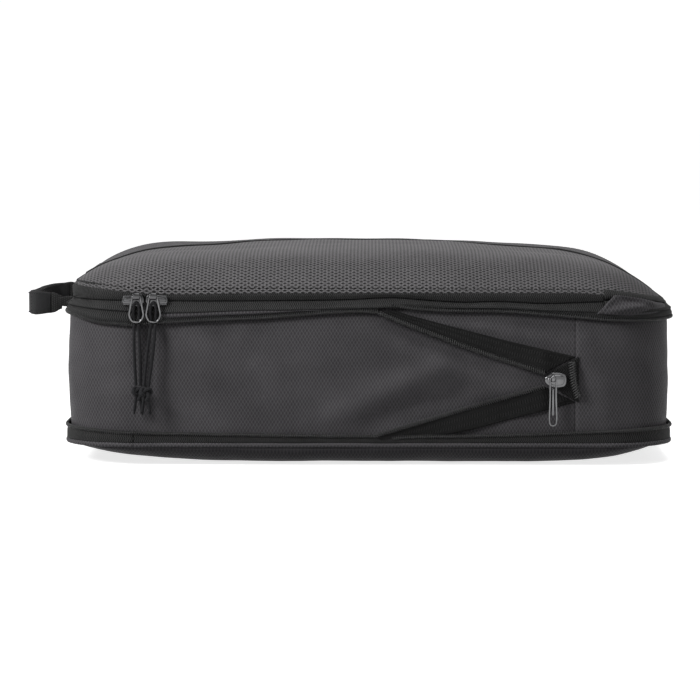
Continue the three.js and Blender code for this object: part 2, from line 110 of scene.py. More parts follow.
# ---- The outline of the body, walked anticlockwise seen from above -------------------------------
CORNER_ARC = math.pi / 2 * CORNER
LONG_RUN = LENGTH - 2 * CORNER
SHORT_RUN = WIDTH - 2 * CORNER
AROUND = 2 * (LONG_RUN + SHORT_RUN) + 4 * CORNER_ARC
SIDES = (
    (LONG_RUN, (1, 0), (0, -1), (-HALF_X, -WIDTH / 2), (HALF_X, -HALF_Y)),
    (SHORT_RUN, (0, 1), (1, 0), (LENGTH / 2, -HALF_Y), (HALF_X, HALF_Y)),
    (LONG_RUN, (-1, 0), (0, 1), (HALF_X, WIDTH / 2), (-HALF_X, HALF_Y)),
    (SHORT_RUN, (0, -1), (-1, 0), (-LENGTH / 2, HALF_Y), (-HALF_X, -HALF_Y)),
)


def outline(s):
    """Points and outward normals at distances s along the outline."""
    s = np.mod(np.asarray(s, float), AROUND)
    x, y, nx, ny = (np.zeros_like(s) for _ in range(4))
    start = 0.0
    for run, along, out, origin, centre in SIDES:
        on = (s >= start) & (s <= start + run)
        d = s - start
        x = np.where(on, origin[0] + along[0] * d, x)
        y = np.where(on, origin[1] + along[1] * d, y)
        nx = np.where(on, out[0], nx)
        ny = np.where(on, out[1], ny)
        start += run
        on = (s > start) & (s < start + CORNER_ARC)
        turn = (s - start) / CORNER
        tx = out[0] * np.cos(turn) - out[1] * np.sin(turn)
        ty = out[0] * np.sin(turn) + out[1] * np.cos(turn)
        x = np.where(on, centre[0] + tx * CORNER, x)
        y = np.where(on, centre[1] + ty * CORNER, y)
        nx = np.where(on, tx, nx)
        ny = np.where(on, ty, ny)
        start += CORNER_ARC
    return x, y, nx, ny


def front(x):
    """Distance along the outline of a point on the front, or round its corners by x past them."""
    return x + HALF_X


def back(x):
    return LONG_RUN + SHORT_RUN + 2 * CORNER_ARC + (HALF_X - x)


HINGE_END = front(HALF_X) + CORNER_ARC
HINGE_MIDDLE = HINGE_END + SHORT_RUN / 2
HANDLE_END = back(-HALF_X) + CORNER_ARC
HANDLE_MIDDLE = HANDLE_END + SHORT_RUN / 2


def around(step, start=0.0, end=AROUND):
    return np.linspace(start, end, max(2, int(round((end - start) / step)) + 1))


# ---- Shapes of lines and cloth -------------------------------------------------------------------
def smooth_through(s, stops):
    """A smooth periodic curve through (distance along the outline, value) stops."""
    at = np.array([p[0] for p in stops])
    value = np.array([p[1] for p in stops])
    order = np.argsort(at)
    at, value = at[order], value[order]
    at = np.concatenate([at[-2:] - AROUND, at, at[:2] + AROUND])
    value = np.concatenate([value[-2:], value, value[:2]])
    slope = np.gradient(value, at)
    s = np.mod(s, AROUND)
    k = np.clip(np.searchsorted(at, s) - 1, 0, len(at) - 2)
    width = at[k + 1] - at[k]
    t = (s - at[k]) / width
    return (
        (2 * t**3 - 3 * t**2 + 1) * value[k]
        + (t**3 - 2 * t**2 + t) * width * slope[k]
        + (-2 * t**3 + 3 * t**2) * value[k + 1]
        + (t**3 - t**2) * width * slope[k + 1]
    )


def low_line(s):
    """Height of the lower compression coil: it smiles, low at the middle of each side."""
    return smooth_through(
        s,
        (
            (front(-139), 20.0), (front(-80), 18.9), (front(0), 17.9), (front(60), 18.1),
            (front(110), 19.6), (front(139), 20.8), (HINGE_END, 21.6),
            (HINGE_MIDDLE, 19.4), (back(139), 20.8), (back(60), 18.6),
            (back(-60), 18.4), (back(-139), 20.4), (HANDLE_END, 21.8),
            (HANDLE_MIDDLE, 19.8), (AROUND - CORNER_ARC, 21.8),
        ),
    )


def high_line(s):
    """Height of the upper compression coil."""
    return smooth_through(
        s,
        (
            (front(-159), 85.4), (front(-145), 84.6), (front(-115), 85.9), (front(-91), 87.2),
            (front(-63), 88.3), (front(-45), 89.7), (front(-21), 91.5), (front(-3), 92.0),
            (front(6), 91.4), (front(14), 93.2), (front(27), 93.2), (front(51), 92.4),
            (front(73), 92.4), (front(100), 90.8), (front(123), 88.8), (front(139), 87.4),
            (HINGE_END, 87.2), (HINGE_MIDDLE, 89.0),
            (back(139), 88.2), (back(60), 90.0), (back(-60), 89.8), (back(-139), 88.2),
            (HANDLE_END, 89.0), (HANDLE_MIDDLE, 90.2),
            (AROUND - CORNER_ARC, 90.4), (AROUND - CORNER_ARC * 0.6, 88.6),
        ),
    )


def zip_line(s):
    """Height of the main zip's chain: it wanders a little."""
    return smooth_through(
        s,
        (
            (front(-139), 98.1), (front(-100), 97.8), (front(-45), 98.1), (front(-12), 98.6),
            (front(16), 99.7), (front(38), 98.0), (front(56), 97.1), (front(76), 97.5),
            (front(104), 96.4), (front(131), 97.2), (front(150), 97.8),
            (HINGE_MIDDLE, 98.3), (back(120), 98.3), (back(70), 99.0),
            (back(20), 98.0), (back(-50), 98.8), (back(-139), 98.4),
            (HANDLE_MIDDLE, 98.7), (AROUND - CORNER_ARC, 98.4),
        ),
    )


def zip_foot(s):
    """Height of the main zip's stitched lower edge."""
    return smooth_through(
        s,
        (
            (front(-173), 93.7), (front(-145), 92.1), (front(-119), 90.9), (front(-91), 91.6),
            (front(-63), 92.4), (front(-35), 92.8), (front(-5), 93.6), (front(27), 94.3),
            (front(51), 93.8), (front(73), 93.8), (front(100), 92.6), (front(123), 91.7),
            (front(139), 91.2), (HINGE_END, 91.8),
            (HINGE_MIDDLE, 92.6), (back(139), 92.4), (back(60), 93.4),
            (back(-60), 93.2), (back(-139), 92.8), (HANDLE_MIDDLE, 93.6),
        ),
    )


def lid_edge(x):
    """The lid's edge: it rises at the handle end and comes down at the hinge."""
    rise, fall = np.clip((-126 - x) / 52, 0, 1), np.clip((x - 118) / 60, 0, 1)
    return LID_EDGE - 0.3 - 0.7 * bump(x, -110, 24) + 3.4 * rise**2 * (3 - 2 * rise) - 7.2 * fall**1.8


def ripples(x, y, z, wave, seed):
    """Smooth undulations between about -1 and 1, from a few sine waves in space."""
    draw = np.random.default_rng(seed)
    total = 0.0
    for _ in range(RIPPLE_WAVES):
        direction = draw.normal(size=3)
        direction /= np.linalg.norm(direction)
        turns = 2 * math.pi / (wave * draw.uniform(0.65, 1.6))
        phase = draw.uniform(0, 2 * math.pi)
        total = total + np.sin(turns * (x * direction[0] + y * direction[1] + z * direction[2]) + phase)
    return total / math.sqrt(RIPPLE_WAVES) * 0.8


def wander(s, wave, seed):
    """Ripples along the outline."""
    return ripples(s, 0 * s, 0 * s, wave, seed)


def lerp(low, high, share):
    return low + (high - low) * share


def bump(x, centre, width):
    return np.exp(-(((x - centre) / width) ** 2))


def crease(x, z, x0, z0, x1, z1, width):
    """A ridge along a straight line on the front, fading at its ends."""
    dx, dz = x1 - x0, z1 - z0
    long = math.hypot(dx, dz)
    t = ((x - x0) * dx + (z - z0) * dz) / long**2
    across = ((x - x0) * dz - (z - z0) * dx) / long
    fade = np.clip(1 - np.abs(2 * t - 1) ** 3, 0, 1)
    return np.exp(-((across / width) ** 2)) * fade


# On the front, creases of the gusset: start and end in x and z, half width, height.
CREASES = (
    (-128, 84, -86, 24, 9.0, -1.0),
    (-112, 86, -56, 26, 8.0, 1.3),
    (-96, 88, -66, 60, 6.0, -0.9),
    (-30, 24, 56, 66, 8.0, 1.5),
    (-8, 22, 70, 46, 7.0, -1.2),
    (4, 88, 92, 51, 6.0, -1.6),
    (-14, 84, 60, 54, 9.0, 1.2),
    (-70, 84, -20, 34, 13.0, -1.1),
    (20, 27, 100, 43, 5.0, -1.0),
    (30, 87, 78, 81, 3.0, 1.0),
    (60, 84, 118, 71, 4.0, 0.9),
    (86, 86, 126, 78, 4.0, -0.8),
    (126, 82, 142, 28, 6.0, 0.9),
    (132, 76, 160, 24, 8.0, -1.0),
    (146, 82, 168, 50, 6.0, 0.8),
)


def gusset_out(s, z):
    """How far the gusset's face lies outside the outline."""
    x, y, _, ny = outline(s)
    low, high = low_line(s), high_line(s)
    t = np.clip((z - low) / (high - low), 0, 1)
    belly = np.sin(math.pi * t) ** 0.7
    out = 1.5 * belly + belly * (
        0.8 * ripples(x, y, z * 0.8, 60, 3) + 0.35 * ripples(x, y, z, 22, 5)
    )
    on_front = (np.abs(y - FRONT_Y) < 20) & (ny < -0.3)
    calm = np.clip((high - z) / 9, 0, 1)
    for x0, z0, x1, z1, width, high_by in CREASES:
        fold = crease(x, z, x0, z0, x1, z1, width) * high_by * CREASE_DEPTH
        out = out + np.where(on_front, fold * calm, 0)
    pinch = np.where(on_front, bump(x, 106, 18) * bump(z, START_Z, 20), 0)
    return GUSSET_FACE + np.clip(out * (1 - pinch), -1.0, 4.4)


def place(s, off, z):
    """Points in space from places on the outline. Below the lid both ends belly out."""
    x, y, nx, ny = outline(s)
    belly = END_BELLY * np.sign(x) * (2 * np.abs(x) / LENGTH) ** 8 * np.clip((97.0 - z) / 8, 0, 1)
    return np.stack([x + nx * off + belly, y + ny * off, z + 0 * x], axis=-1)


# ---- Meshes --------------------------------------------------------------------------------------
def face_out(mesh):
    """Turns every face outwards."""
    work = bmesh.new()
    work.from_mesh(mesh)
    bmesh.ops.recalc_face_normals(work, faces=work.faces)
    work.to_mesh(mesh)
    work.free()


def add_mesh(name, points, faces, material, body, uv, own_node=True):
    """Makes a piece from points in millimetres. uv gives each point's place on its cloth, in millimetres.

    With own_node the piece stands for the CAD node of its own name.
    """
    points = np.asarray(points, float).reshape(-1, 3)
    mesh = bpy.data.meshes.new(name)
    mesh.vertices.add(len(points))
    mesh.vertices.foreach_set("co", (points * MM).ravel())
    corners = faces.shape[1]
    mesh.loops.add(faces.size)
    mesh.loops.foreach_set("vertex_index", faces.ravel().astype(np.int32))
    mesh.polygons.add(len(faces))
    mesh.polygons.foreach_set("loop_start", np.arange(0, faces.size, corners, dtype=np.int32))
    mesh.polygons.foreach_set("loop_total", np.full(len(faces), corners, dtype=np.int32))
    mesh.update(calc_edges=True)
    mesh.validate()
    face_out(mesh)
    mesh.polygons.foreach_set("use_smooth", np.ones(len(mesh.polygons), bool))
    index = np.zeros(len(mesh.loops), np.int32)
    mesh.loops.foreach_get("vertex_index", index)
    layer = mesh.uv_layers.new(name="cloth")
    layer.data.foreach_set("uv", np.asarray(uv, float).reshape(-1, 2)[index].ravel())
    mesh.materials.append(material)
    piece = bpy.data.objects.new(name, mesh)
    bpy.context.collection.objects.link(piece)
    if body:
        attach(piece, body)
    if own_node:
        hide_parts(name)
    return piece


def grid_faces(rows, columns, close_rows=False, close_columns=False, first=0):
    """Quads of a grid of points in row-major order."""
    r = np.arange(rows if close_rows else rows - 1)
    c = np.arange(columns if close_columns else columns - 1)
    r, c = np.meshgrid(r, c, indexing="ij")
    r2, c2 = (r + 1) % rows, (c + 1) % columns
    quads = np.stack([r * columns + c, r2 * columns + c, r2 * columns + c2, r * columns + c2], axis=-1)
    return quads.reshape(-1, 4) + first


def flip(faces):
    return faces[:, ::-1]


class Parts:
    """Gathers several shapes into one mesh."""

    def __init__(self):
        self.points = []
        self.uvs = []
        self.faces = []
        self.count = 0

    def add(self, points, faces, uv=None):
        points = np.asarray(points, float).reshape(-1, 3)
        self.points.append(points)
        uv = np.zeros((len(points), 2)) if uv is None else np.asarray(uv, float)
        self.uvs.append(uv.reshape(-1, 2))
        self.faces.append(np.asarray(faces) + self.count)
        self.count += len(points)

    def make(self, name, material, body, own_node=True):
        points, faces, uv = (np.concatenate(held) for held in (self.points, self.faces, self.uvs))
        return add_mesh(name, points, faces, material, body, uv, own_node)


def cloth_shell(points, thick, uv):
    """A thin closed sheet from a grid of points (rows, columns, 3): both faces and the edges between."""
    rows, columns = points.shape[:2]
    along = np.gradient(points, axis=0)
    across = np.gradient(points, axis=1)
    normal = np.cross(along, across)
    normal /= np.linalg.norm(normal, axis=-1, keepdims=True) + 1e-12
    both = np.stack([points, points - normal * thick]).reshape(-1, 3)
    n = rows * columns
    faces = [flip(grid_faces(rows, columns)), grid_faces(rows, columns, first=n)]
    rim = [r * columns for r in range(rows)]
    rim += [(rows - 1) * columns + c for c in range(1, columns)]
    rim += [r * columns + columns - 1 for r in range(rows - 2, -1, -1)]
    rim += [c for c in range(columns - 2, 0, -1)]
    rim = np.array(rim)
    after = np.roll(rim, -1)
    faces.append(np.stack([rim, rim + n, after + n, after], axis=-1)[:, ::-1])
    return both, np.concatenate(faces), np.tile(np.asarray(uv, float).reshape(-1, 2), (2, 1))


def cloth_piece(name, points, thick, u, v, material, body, own_node=True):
    """A piece of cloth from a grid of points. u and v are their places on the flat cloth."""
    both, faces, uv = cloth_shell(points, thick, np.stack(np.broadcast_arrays(u, v), axis=-1))
    return add_mesh(name, both, faces, material, body, uv, own_node)


def sweep_cloth(name, s, profile, thick, material, body):
    """A strip along the outline. profile(s) gives its distances outwards and its heights."""
    off, z = profile(s)
    points = np.stack([place(s, o, h) for o, h in zip(off, z)])
    v = np.concatenate([[0], np.cumsum(np.linalg.norm(np.diff(points, axis=0), axis=-1).mean(axis=1))])
    return cloth_piece(name, points, -thick, s[None, :], v[:, None], material, body)


def unit(vectors):
    return vectors / np.linalg.norm(vectors, axis=-1, keepdims=True)


def lengths(path):
    """Distance run at each point of a path."""
    return np.concatenate([[0], np.cumsum(np.linalg.norm(np.diff(path, axis=0), axis=1))])


def frames_along(path):
    """Tangents and two normals along a path of points, turning as little as possible."""
    tangent = unit(np.gradient(path, axis=0))
    side = np.zeros_like(path)
    start = np.array([0.0, 0, 1]) if abs(tangent[0][2]) < 0.9 else np.array([1.0, 0, 0])
    side[0] = np.cross(tangent[0], start)
    side[0] /= np.linalg.norm(side[0])
    for k in range(1, len(path)):
        v = side[k - 1] - tangent[k] * np.dot(side[k - 1], tangent[k])
        side[k] = v / np.linalg.norm(v)
    return tangent, side, np.cross(tangent, side)


def loft(rings):
    """A closed skin over rings of points. Each end is filled with quads round its middle."""
    rows, sides = rings.shape[:2]
    middles = rings[[0, -1]].mean(axis=1)
    k = np.arange(0, sides, 2)
    faces = [grid_faces(rows, sides, close_columns=True)]
    for middle, first in ((rows * sides, 0), (rows * sides + 1, (rows - 1) * sides)):
        corners = [np.full_like(k, middle), first + (k + 2) % sides, first + k + 1, first + k]
        faces.append(np.stack(corners, axis=-1))
    return np.concatenate([rings.reshape(-1, 3), middles]), np.concatenate(faces)


def tube(path, radius, sides, closed=False):
    """Points, faces and uv of a bar along a path. u runs once round it and v along it, in millimetres."""
    path = np.asarray(path, float)
    if closed:
        _, side, up = (f[2:-2] for f in frames_along(np.concatenate([path[-2:], path, path[:2]])))
    else:
        _, side, up = frames_along(path)
    a = np.arange(sides) / sides * 2 * math.pi
    ring = side[:, None] * np.cos(a)[None, :, None] + up[:, None] * np.sin(a)[None, :, None]
    rings = path[:, None] + ring * np.broadcast_to(radius, (len(path), sides))[:, :, None]
    run = lengths(path)
    uv = np.stack(np.broadcast_arrays(a[None, :] / (2 * math.pi), run[:, None]), axis=-1).reshape(-1, 2)
    if closed:
        return rings.reshape(-1, 3), grid_faces(len(path), sides, True, True), uv
    points, faces = loft(rings)
    return points, faces, np.concatenate([uv, [[0, 0], [0, run[-1]]]])


def band(path, across, wide, thick):
    """Points, faces and uv of a flat bar with round edges along a path. Its width runs across."""
    path = np.asarray(path, float)
    along = np.gradient(path, axis=0)
    out = unit(np.cross(along, np.broadcast_to(np.asarray(across, float), path.shape)))
    wide, thick = (np.broadcast_to(size, len(path)) for size in (wide, thick))
    round_by = 0.48 * np.minimum(wide, thick)
    rings = []
    for k, (right, top) in enumerate(((1, 1), (-1, 1), (-1, -1), (1, -1))):
        for turn in (0, 30, 60, 90):
            a = math.radians(90 * k + turn)
            u = right * (wide / 2 - round_by) + math.cos(a) * round_by
            v = top * (thick / 2 - round_by) + math.sin(a) * round_by
            rings.append(path + np.asarray(across) * u[:, None] + out * v[:, None])
    rings = np.stack(rings, axis=1)
    girth = np.linalg.norm(np.diff(rings[len(rings) // 2], axis=0), axis=1)
    u = np.concatenate([[0], np.cumsum(girth)])
    uv = np.stack(np.broadcast_arrays(u[None, :], lengths(path)[:, None]), axis=-1).reshape(-1, 2)
    points, faces = loft(rings)
    return points, faces, np.concatenate([uv, uv[:1], uv[-1:]])


def spline(points, count, closed=False):
    """Evenly spaced points on a smooth curve through a few points."""
    points = np.asarray(points, float)
    if closed:
        ext = np.concatenate([points[-1:], points, points[:2]])
    else:
        ext = np.concatenate([2 * points[:1] - points[1:2], points, 2 * points[-1:] - points[-2:-1]])
    t = np.linspace(0, 1, 24, endpoint=False)[:, None]
    dense = []
    for p0, p1, p2, p3 in zip(ext, ext[1:], ext[2:], ext[3:]):
        bend = 2 * p0 - 5 * p1 + 4 * p2 - p3
        twist = 3 * p1 - p0 - 3 * p2 + p3
        dense.append(0.5 * (2 * p1 + (p2 - p0) * t + bend * t**2 + twist * t**3))
    dense = np.concatenate([*dense, ext[-2:-1]])
    even = np.linspace(0, lengths(dense)[-1], count, endpoint=not closed)
    return along_path(dense, even)


def along_path(path, at, values=None):
    """A path's points, or other values given at its points, at given distances along it."""
    values = path if values is None else values
    run = lengths(path)
    return np.stack([np.interp(at, run, values[:, k]) for k in range(values.shape[1])], axis=-1)


def coil_helix(path, out, up, across, tall, wire, pitch, lean=0.0):
    """A flattened helix round a path: the wire of a coil zip."""
    run = lengths(path)[-1]
    at = np.linspace(0, run, int(run / pitch * 9))
    centre = along_path(path, at)
    a = (at / pitch * 2 * math.pi)[:, None]
    line = centre + along_path(path, at, out) * np.cos(a) * across
    line += along_path(path, at, up) * np.sin(a) * tall
    along = np.gradient(centre, axis=0)
    line += along / np.linalg.norm(along, axis=1, keepdims=True) * np.sin(a) * lean
    return tube(line, wire, 6)


def stitch_row(parts, path, normal, pitch=STITCH_PITCH, *, thread):
    """Stitches along a path: short threads that dip into the cloth at both ends."""
    count = max(1, int(lengths(path)[-1] / pitch))
    starts = (np.arange(count) + 0.5 * (1 - STITCH_SHARE)) * pitch
    lift = np.array([-0.25, 0.12, 0.22, 0.12, -0.25])
    t = np.linspace(0, 1, 5)
    at = starts[:, None] + t[None, :] * STITCH_SHARE * pitch
    centre = along_path(path, at)
    out = along_path(path, at, normal)
    centre = centre + out * lift[None, :, None]
    along = centre[:, -1] - centre[:, 0]
    along = unit(along)
    side = np.cross(along[:, None], out)
    a = np.arange(5) / 5 * 2 * math.pi
    radius = thread * np.array([0.5, 0.95, 1.0, 0.95, 0.5])
    turn_side, turn_out = (np.reshape(f(a), (1, 1, -1, 1)) for f in (np.cos, np.sin))
    ring = side[:, :, None] * turn_side + out[:, :, None] * turn_out
    points = centre[:, :, None] + ring * radius[None, :, None, None]
    one = grid_faces(5, 5, close_columns=True)
    faces = (one[None] + (np.arange(count) * 25)[:, None, None]).reshape(-1, 4)
    parts.add(points.reshape(-1, 3), faces)


# ---- Materials -----------------------------------------------------------------------------------
def grey(level):
    return (level, level, level)


class Shader:
    """A few short words for building a node material."""

    def __init__(self, name, roughness, specular, metallic=0.0, sheen=0.0):
        self.material = bpy.data.materials.new(name)
        self.material.use_nodes = True
        self.tree = self.material.node_tree
        self.bsdf = self.tree.nodes["Principled BSDF"]
        self.bsdf.inputs["Roughness"].default_value = roughness
        self.bsdf.inputs["Metallic"].default_value = metallic
        self.bsdf.inputs["Specular IOR Level"].default_value = specular
        self.bsdf.inputs["Sheen Weight"].default_value = sheen

    def put(self, socket, value):
        if isinstance(value, bpy.types.NodeSocket):
            self.tree.links.new(value, socket)
        else:
            socket.default_value = value

    def math(self, operation, a, b=0.0, c=0.0, clamp=False):
        node = self.tree.nodes.new("ShaderNodeMath")
        node.operation = operation
        node.use_clamp = clamp
        for socket, value in zip(node.inputs, (a, b, c)):
            self.put(socket, value)
        return node.outputs[0]

    def plus(self, a, b, clamp=False):
        return self.math("ADD", a, b, clamp=clamp)

    def minus(self, a, b, clamp=False):
        return self.math("SUBTRACT", a, b, clamp=clamp)

    def times(self, a, b):
        return self.math("MULTIPLY", a, b)

    def over(self, a, b):
        return self.math("DIVIDE", a, b)

    def wave(self, value):
        """A sine with one turn for each whole number of value."""
        return self.math("SINE", self.times(value, 2 * math.pi))

    def cloth(self):
        """The two coordinates of the cloth, in millimetres."""
        node = self.tree.nodes.new("ShaderNodeUVMap")
        node.uv_map = "cloth"
        split = self.tree.nodes.new("ShaderNodeSeparateXYZ")
        self.tree.links.new(node.outputs[0], split.inputs[0])
        return split.outputs[0], split.outputs[1]

    def noise(self, scale, detail, rough=0.5):
        node = self.tree.nodes.new("ShaderNodeTexNoise")
        node.inputs["Scale"].default_value = scale
        node.inputs["Detail"].default_value = detail
        node.inputs["Roughness"].default_value = rough
        place_in_space = self.tree.nodes.new("ShaderNodeTexCoord").outputs["Object"]
        self.put(node.inputs["Vector"], place_in_space)
        return node.outputs[0]

    def line(self, value, width):
        """1 on the whole numbers of value, falling to 0 at width to either side."""
        near = self.math("ABSOLUTE", self.minus(self.math("FRACT", value), 0.5))
        return self.minus(1.0, self.over(self.minus(0.5, near), width), clamp=True)

    def mix(self, share, low, high):
        node = self.tree.nodes.new("ShaderNodeMix")
        node.data_type = "RGBA"
        self.put(node.inputs["Factor"], share)
        for socket, colour in ((node.inputs["A"], low), (node.inputs["B"], high)):
            self.put(socket, (*colour, 1.0) if isinstance(colour, tuple) else colour)
        return node.outputs["Result"]

    def spread(self, value, low, high):
        node = self.tree.nodes.new("ShaderNodeMapRange")
        self.put(node.inputs["Value"], value)
        node.inputs["To Min"].default_value = low
        node.inputs["To Max"].default_value = high
        return node.outputs[0]

    def finish(self, colour, height=None, depth=0.0002, strength=0.6, roughness=None):
        self.put(self.bsdf.inputs["Base Color"], colour)
        if roughness is not None:
            self.put(self.bsdf.inputs["Roughness"], roughness)
        if height is not None:
            node = self.tree.nodes.new("ShaderNodeBump")
            node.inputs["Strength"].default_value = strength
            node.inputs["Distance"].default_value = depth
            self.put(node.inputs["Height"], height)
            self.tree.links.new(node.outputs[0], self.bsdf.inputs["Normal"])
        return self.material


DIAMOND_WIDE, DIAMOND_TALL = 2.05, 3.5
BRAID_STRANDS, BRAID_PITCH = 8, 1.7


def ripstop(name, cloth, thread):
    """Nylon ripstop: a fine plain weave crossed by a diamond grid of thicker threads."""
    m = Shader(name, roughness=0.62, specular=0.12)
    u, v = m.cloth()
    across, up = m.over(u, DIAMOND_WIDE), m.over(v, DIAMOND_TALL)
    one = m.line(m.plus(across, up), 0.17)
    two = m.line(m.minus(across, up), 0.17)
    grid = m.math("MAXIMUM", one, two)
    knots = m.times(one, two)
    weave = m.times(
        m.math("SINE", m.times(u, 2 * math.pi / 0.4)),
        m.math("SINE", m.times(v, 2 * math.pi / 0.4)),
    )
    patchy = m.spread(m.noise(35.0, 4.0), -0.22, 0.22)
    fine = m.spread(m.noise(900.0, 1.0), -0.16, 0.16)
    threads = m.plus(m.times(grid, 0.62), m.times(knots, 0.3))
    share = m.plus(threads, m.plus(patchy, fine))
    colour = m.mix(m.plus(share, 0.08, clamp=True), cloth, thread)
    height = m.plus(m.times(grid, 0.8), m.times(weave, 0.12))
    return m.finish(colour, height, 0.00012, 0.7, m.spread(grid, 0.66, 0.5))


def twill_tape(name, dark, light, herring=2.8, rib=1.25, slant=0.7):
    """Woven tape with a herringbone of diagonal ribs."""
    m = Shader(name, roughness=0.7, specular=0.1)
    u, v = m.cloth()
    zigzag = m.math("PINGPONG", m.over(v, herring / 2), 1.0)
    ribs = m.plus(m.over(u, rib), m.times(zigzag, slant))
    rounded = m.math("MULTIPLY_ADD", m.wave(ribs), 0.5, 0.5)
    fine = m.spread(m.noise(1100.0, 1.0), -0.25, 0.25)
    patchy = m.spread(m.noise(60.0, 3.0), -0.2, 0.2)
    share = m.plus(m.plus(m.times(rounded, 1.0), fine), patchy, clamp=True)
    return m.finish(m.mix(share, dark, light), rounded, 0.00025, 0.8)


def plain_thread(name, dark, light, roughness=0.6):
    m = Shader(name, roughness=roughness, specular=0.15)
    grain = m.noise(1500.0, 2.0)
    return m.finish(m.mix(grain, dark, light), grain, 0.0001, 0.5)


def nylon_coil(name, dark, light):
    m = Shader(name, roughness=0.34, specular=0.35)
    grain = m.noise(400.0, 3.0)
    return m.finish(m.mix(grain, dark, light), grain, 0.00005, 0.3, m.spread(grain, 0.3, 0.48))


def plated_metal(name, dark, light, roughness):
    """Plated metal with fine scuffs."""
    m = Shader(name, roughness=0.6, specular=0.5, metallic=1.0)
    scuff = m.noise(260.0, 6.0, rough=0.7)
    cloud = m.noise(90.0, 2.0)
    return m.finish(m.mix(cloud, dark, light), scuff, 0.00004, 0.35, m.spread(scuff, *roughness))


def braid(name, dark, light):
    """Braided cord: two sets of strands that cross. u runs once round the cord and v along it."""
    m = Shader(name, roughness=0.75, specular=0.12, sheen=0.04)
    u, v = m.cloth()
    turn, run = m.times(u, BRAID_STRANDS / 2), m.over(v, BRAID_PITCH)
    one, two = m.wave(m.plus(turn, run)), m.wave(m.minus(turn, run))
    plait = m.math("MULTIPLY_ADD", m.times(one, two), 0.5, 0.5)
    fuzz = m.spread(m.noise(1500.0, 2.0), -0.2, 0.2)
    return m.finish(m.mix(m.plus(plait, fuzz, clamp=True), dark, light), plait, 0.0003, 0.8)


def webbing(name, dark, light, rib=1.5):
    """Plain woven webbing: ribs across the band, broken into short picks."""
    m = Shader(name, roughness=0.72, specular=0.12, sheen=0.04)
    u, v = m.cloth()
    row = m.math("FLOOR", m.over(v, rib * 0.8))
    shifted = m.plus(m.over(u, rib), m.times(row, 0.5))
    picks = m.times(
        m.math("ABSOLUTE", m.math("SINE", m.times(shifted, math.pi))),
        m.math("ABSOLUTE", m.math("SINE", m.times(m.over(v, rib * 0.8), math.pi))),
    )
    fuzz = m.spread(m.noise(1200.0, 2.0), -0.15, 0.15)
    return m.finish(m.mix(m.plus(picks, fuzz, clamp=True), dark, light), picks, 0.0003, 0.8)


def knit(name, dark, light):
    """The mesh's threads: a little fuzz, and a painted highlight along the rib between its columns of
    holes.
    """
    m = Shader(name, roughness=0.7, specular=0.12, sheen=0.1)
    fuzz = m.noise(1800.0, 3.0)
    cloud = m.noise(30.0, 3.0)
    # Painted highlight: a lighter stripe along each rib between the columns of holes.
    wale_highlight = m.line(m.plus(m.over(m.cloth()[0], NET_PITCH / 2), 0.5), 0.5)
    share = m.plus(m.times(fuzz, 0.4), m.times(cloud, 0.3))
    share = m.plus(share, m.math("MULTIPLY_ADD", wale_highlight, 0.8, -0.22), clamp=True)
    return m.finish(m.mix(share, dark, light), fuzz, 0.0002, 0.8)


def paper(name):
    """Backdrop paper, lit from behind a little so that it stays pale."""
    m = Shader(name, roughness=0.9, specular=0.1)
    m.bsdf.inputs["Emission Color"].default_value = (1, 1, 1, 1)
    m.bsdf.inputs["Emission Strength"].default_value = 0.76
    return m.finish(m.mix(m.noise(20.0, 3.0), grey(0.80), grey(0.82)))


RIPSTOP = ripstop("ripstop_grey", (0.041, 0.039, 0.042), (0.125, 0.120, 0.127))
# The bottom's ripstop is a darker copy of the wall's ripstop: painted shade for the underside.
RIPSTOP_PAINTED_SHADE = ripstop("ripstop_bottom_painted_shade", (0.019, 0.018, 0.020), (0.056, 0.053, 0.057))
TAPE = twill_tape("zip_tape_black", grey(0.002), grey(0.050))
START_TAPE = twill_tape("start_tape_black", grey(0.001), grey(0.024), herring=5.2, rib=1.5, slant=1.6)
COIL = nylon_coil("coil_black", grey(0.006), grey(0.020))
OPEN_COIL = nylon_coil("coil_open_black", grey(0.014), grey(0.052))
TAIL_COIL = nylon_coil("coil_tail_black", grey(0.018), grey(0.060))
BINDING = webbing("binding_black", grey(0.008), grey(0.026), rib=1.0)
THREAD_BLACK = plain_thread("thread_black", grey(0.006), grey(0.022))
THREAD_GREY = plain_thread("thread_grey", (0.045, 0.043, 0.045), (0.090, 0.086, 0.090))
MESH_THREAD = knit("mesh_grey", (0.052, 0.050, 0.052), (0.155, 0.150, 0.155))
# The lining's grey is raised close to the threads' as painted light, so that the shaded holes look lit.
MESH_LINING_PAINTED_LIGHT = knit("mesh_lining_painted_light", (0.055, 0.053, 0.055), (0.130, 0.125, 0.130))
GUNMETAL = plated_metal("gunmetal", (0.034, 0.034, 0.035), (0.110, 0.110, 0.113), (0.10, 0.24))
NICKEL = plated_metal("nickel_wire", (0.070, 0.070, 0.072), (0.190, 0.190, 0.194), (0.07, 0.20))
CORD = braid("cord_black", (0.006, 0.006, 0.007), (0.026, 0.026, 0.028))
WEBBING = webbing("webbing_black", grey(0.008), grey(0.030))
SLEEVE = webbing("sleeve_black", (0.010, 0.010, 0.011), (0.028, 0.028, 0.029), rib=0.7)
PAPER = paper("paper")
CARD = plain_thread("card_grey", grey(0.18), grey(0.20), roughness=0.9)


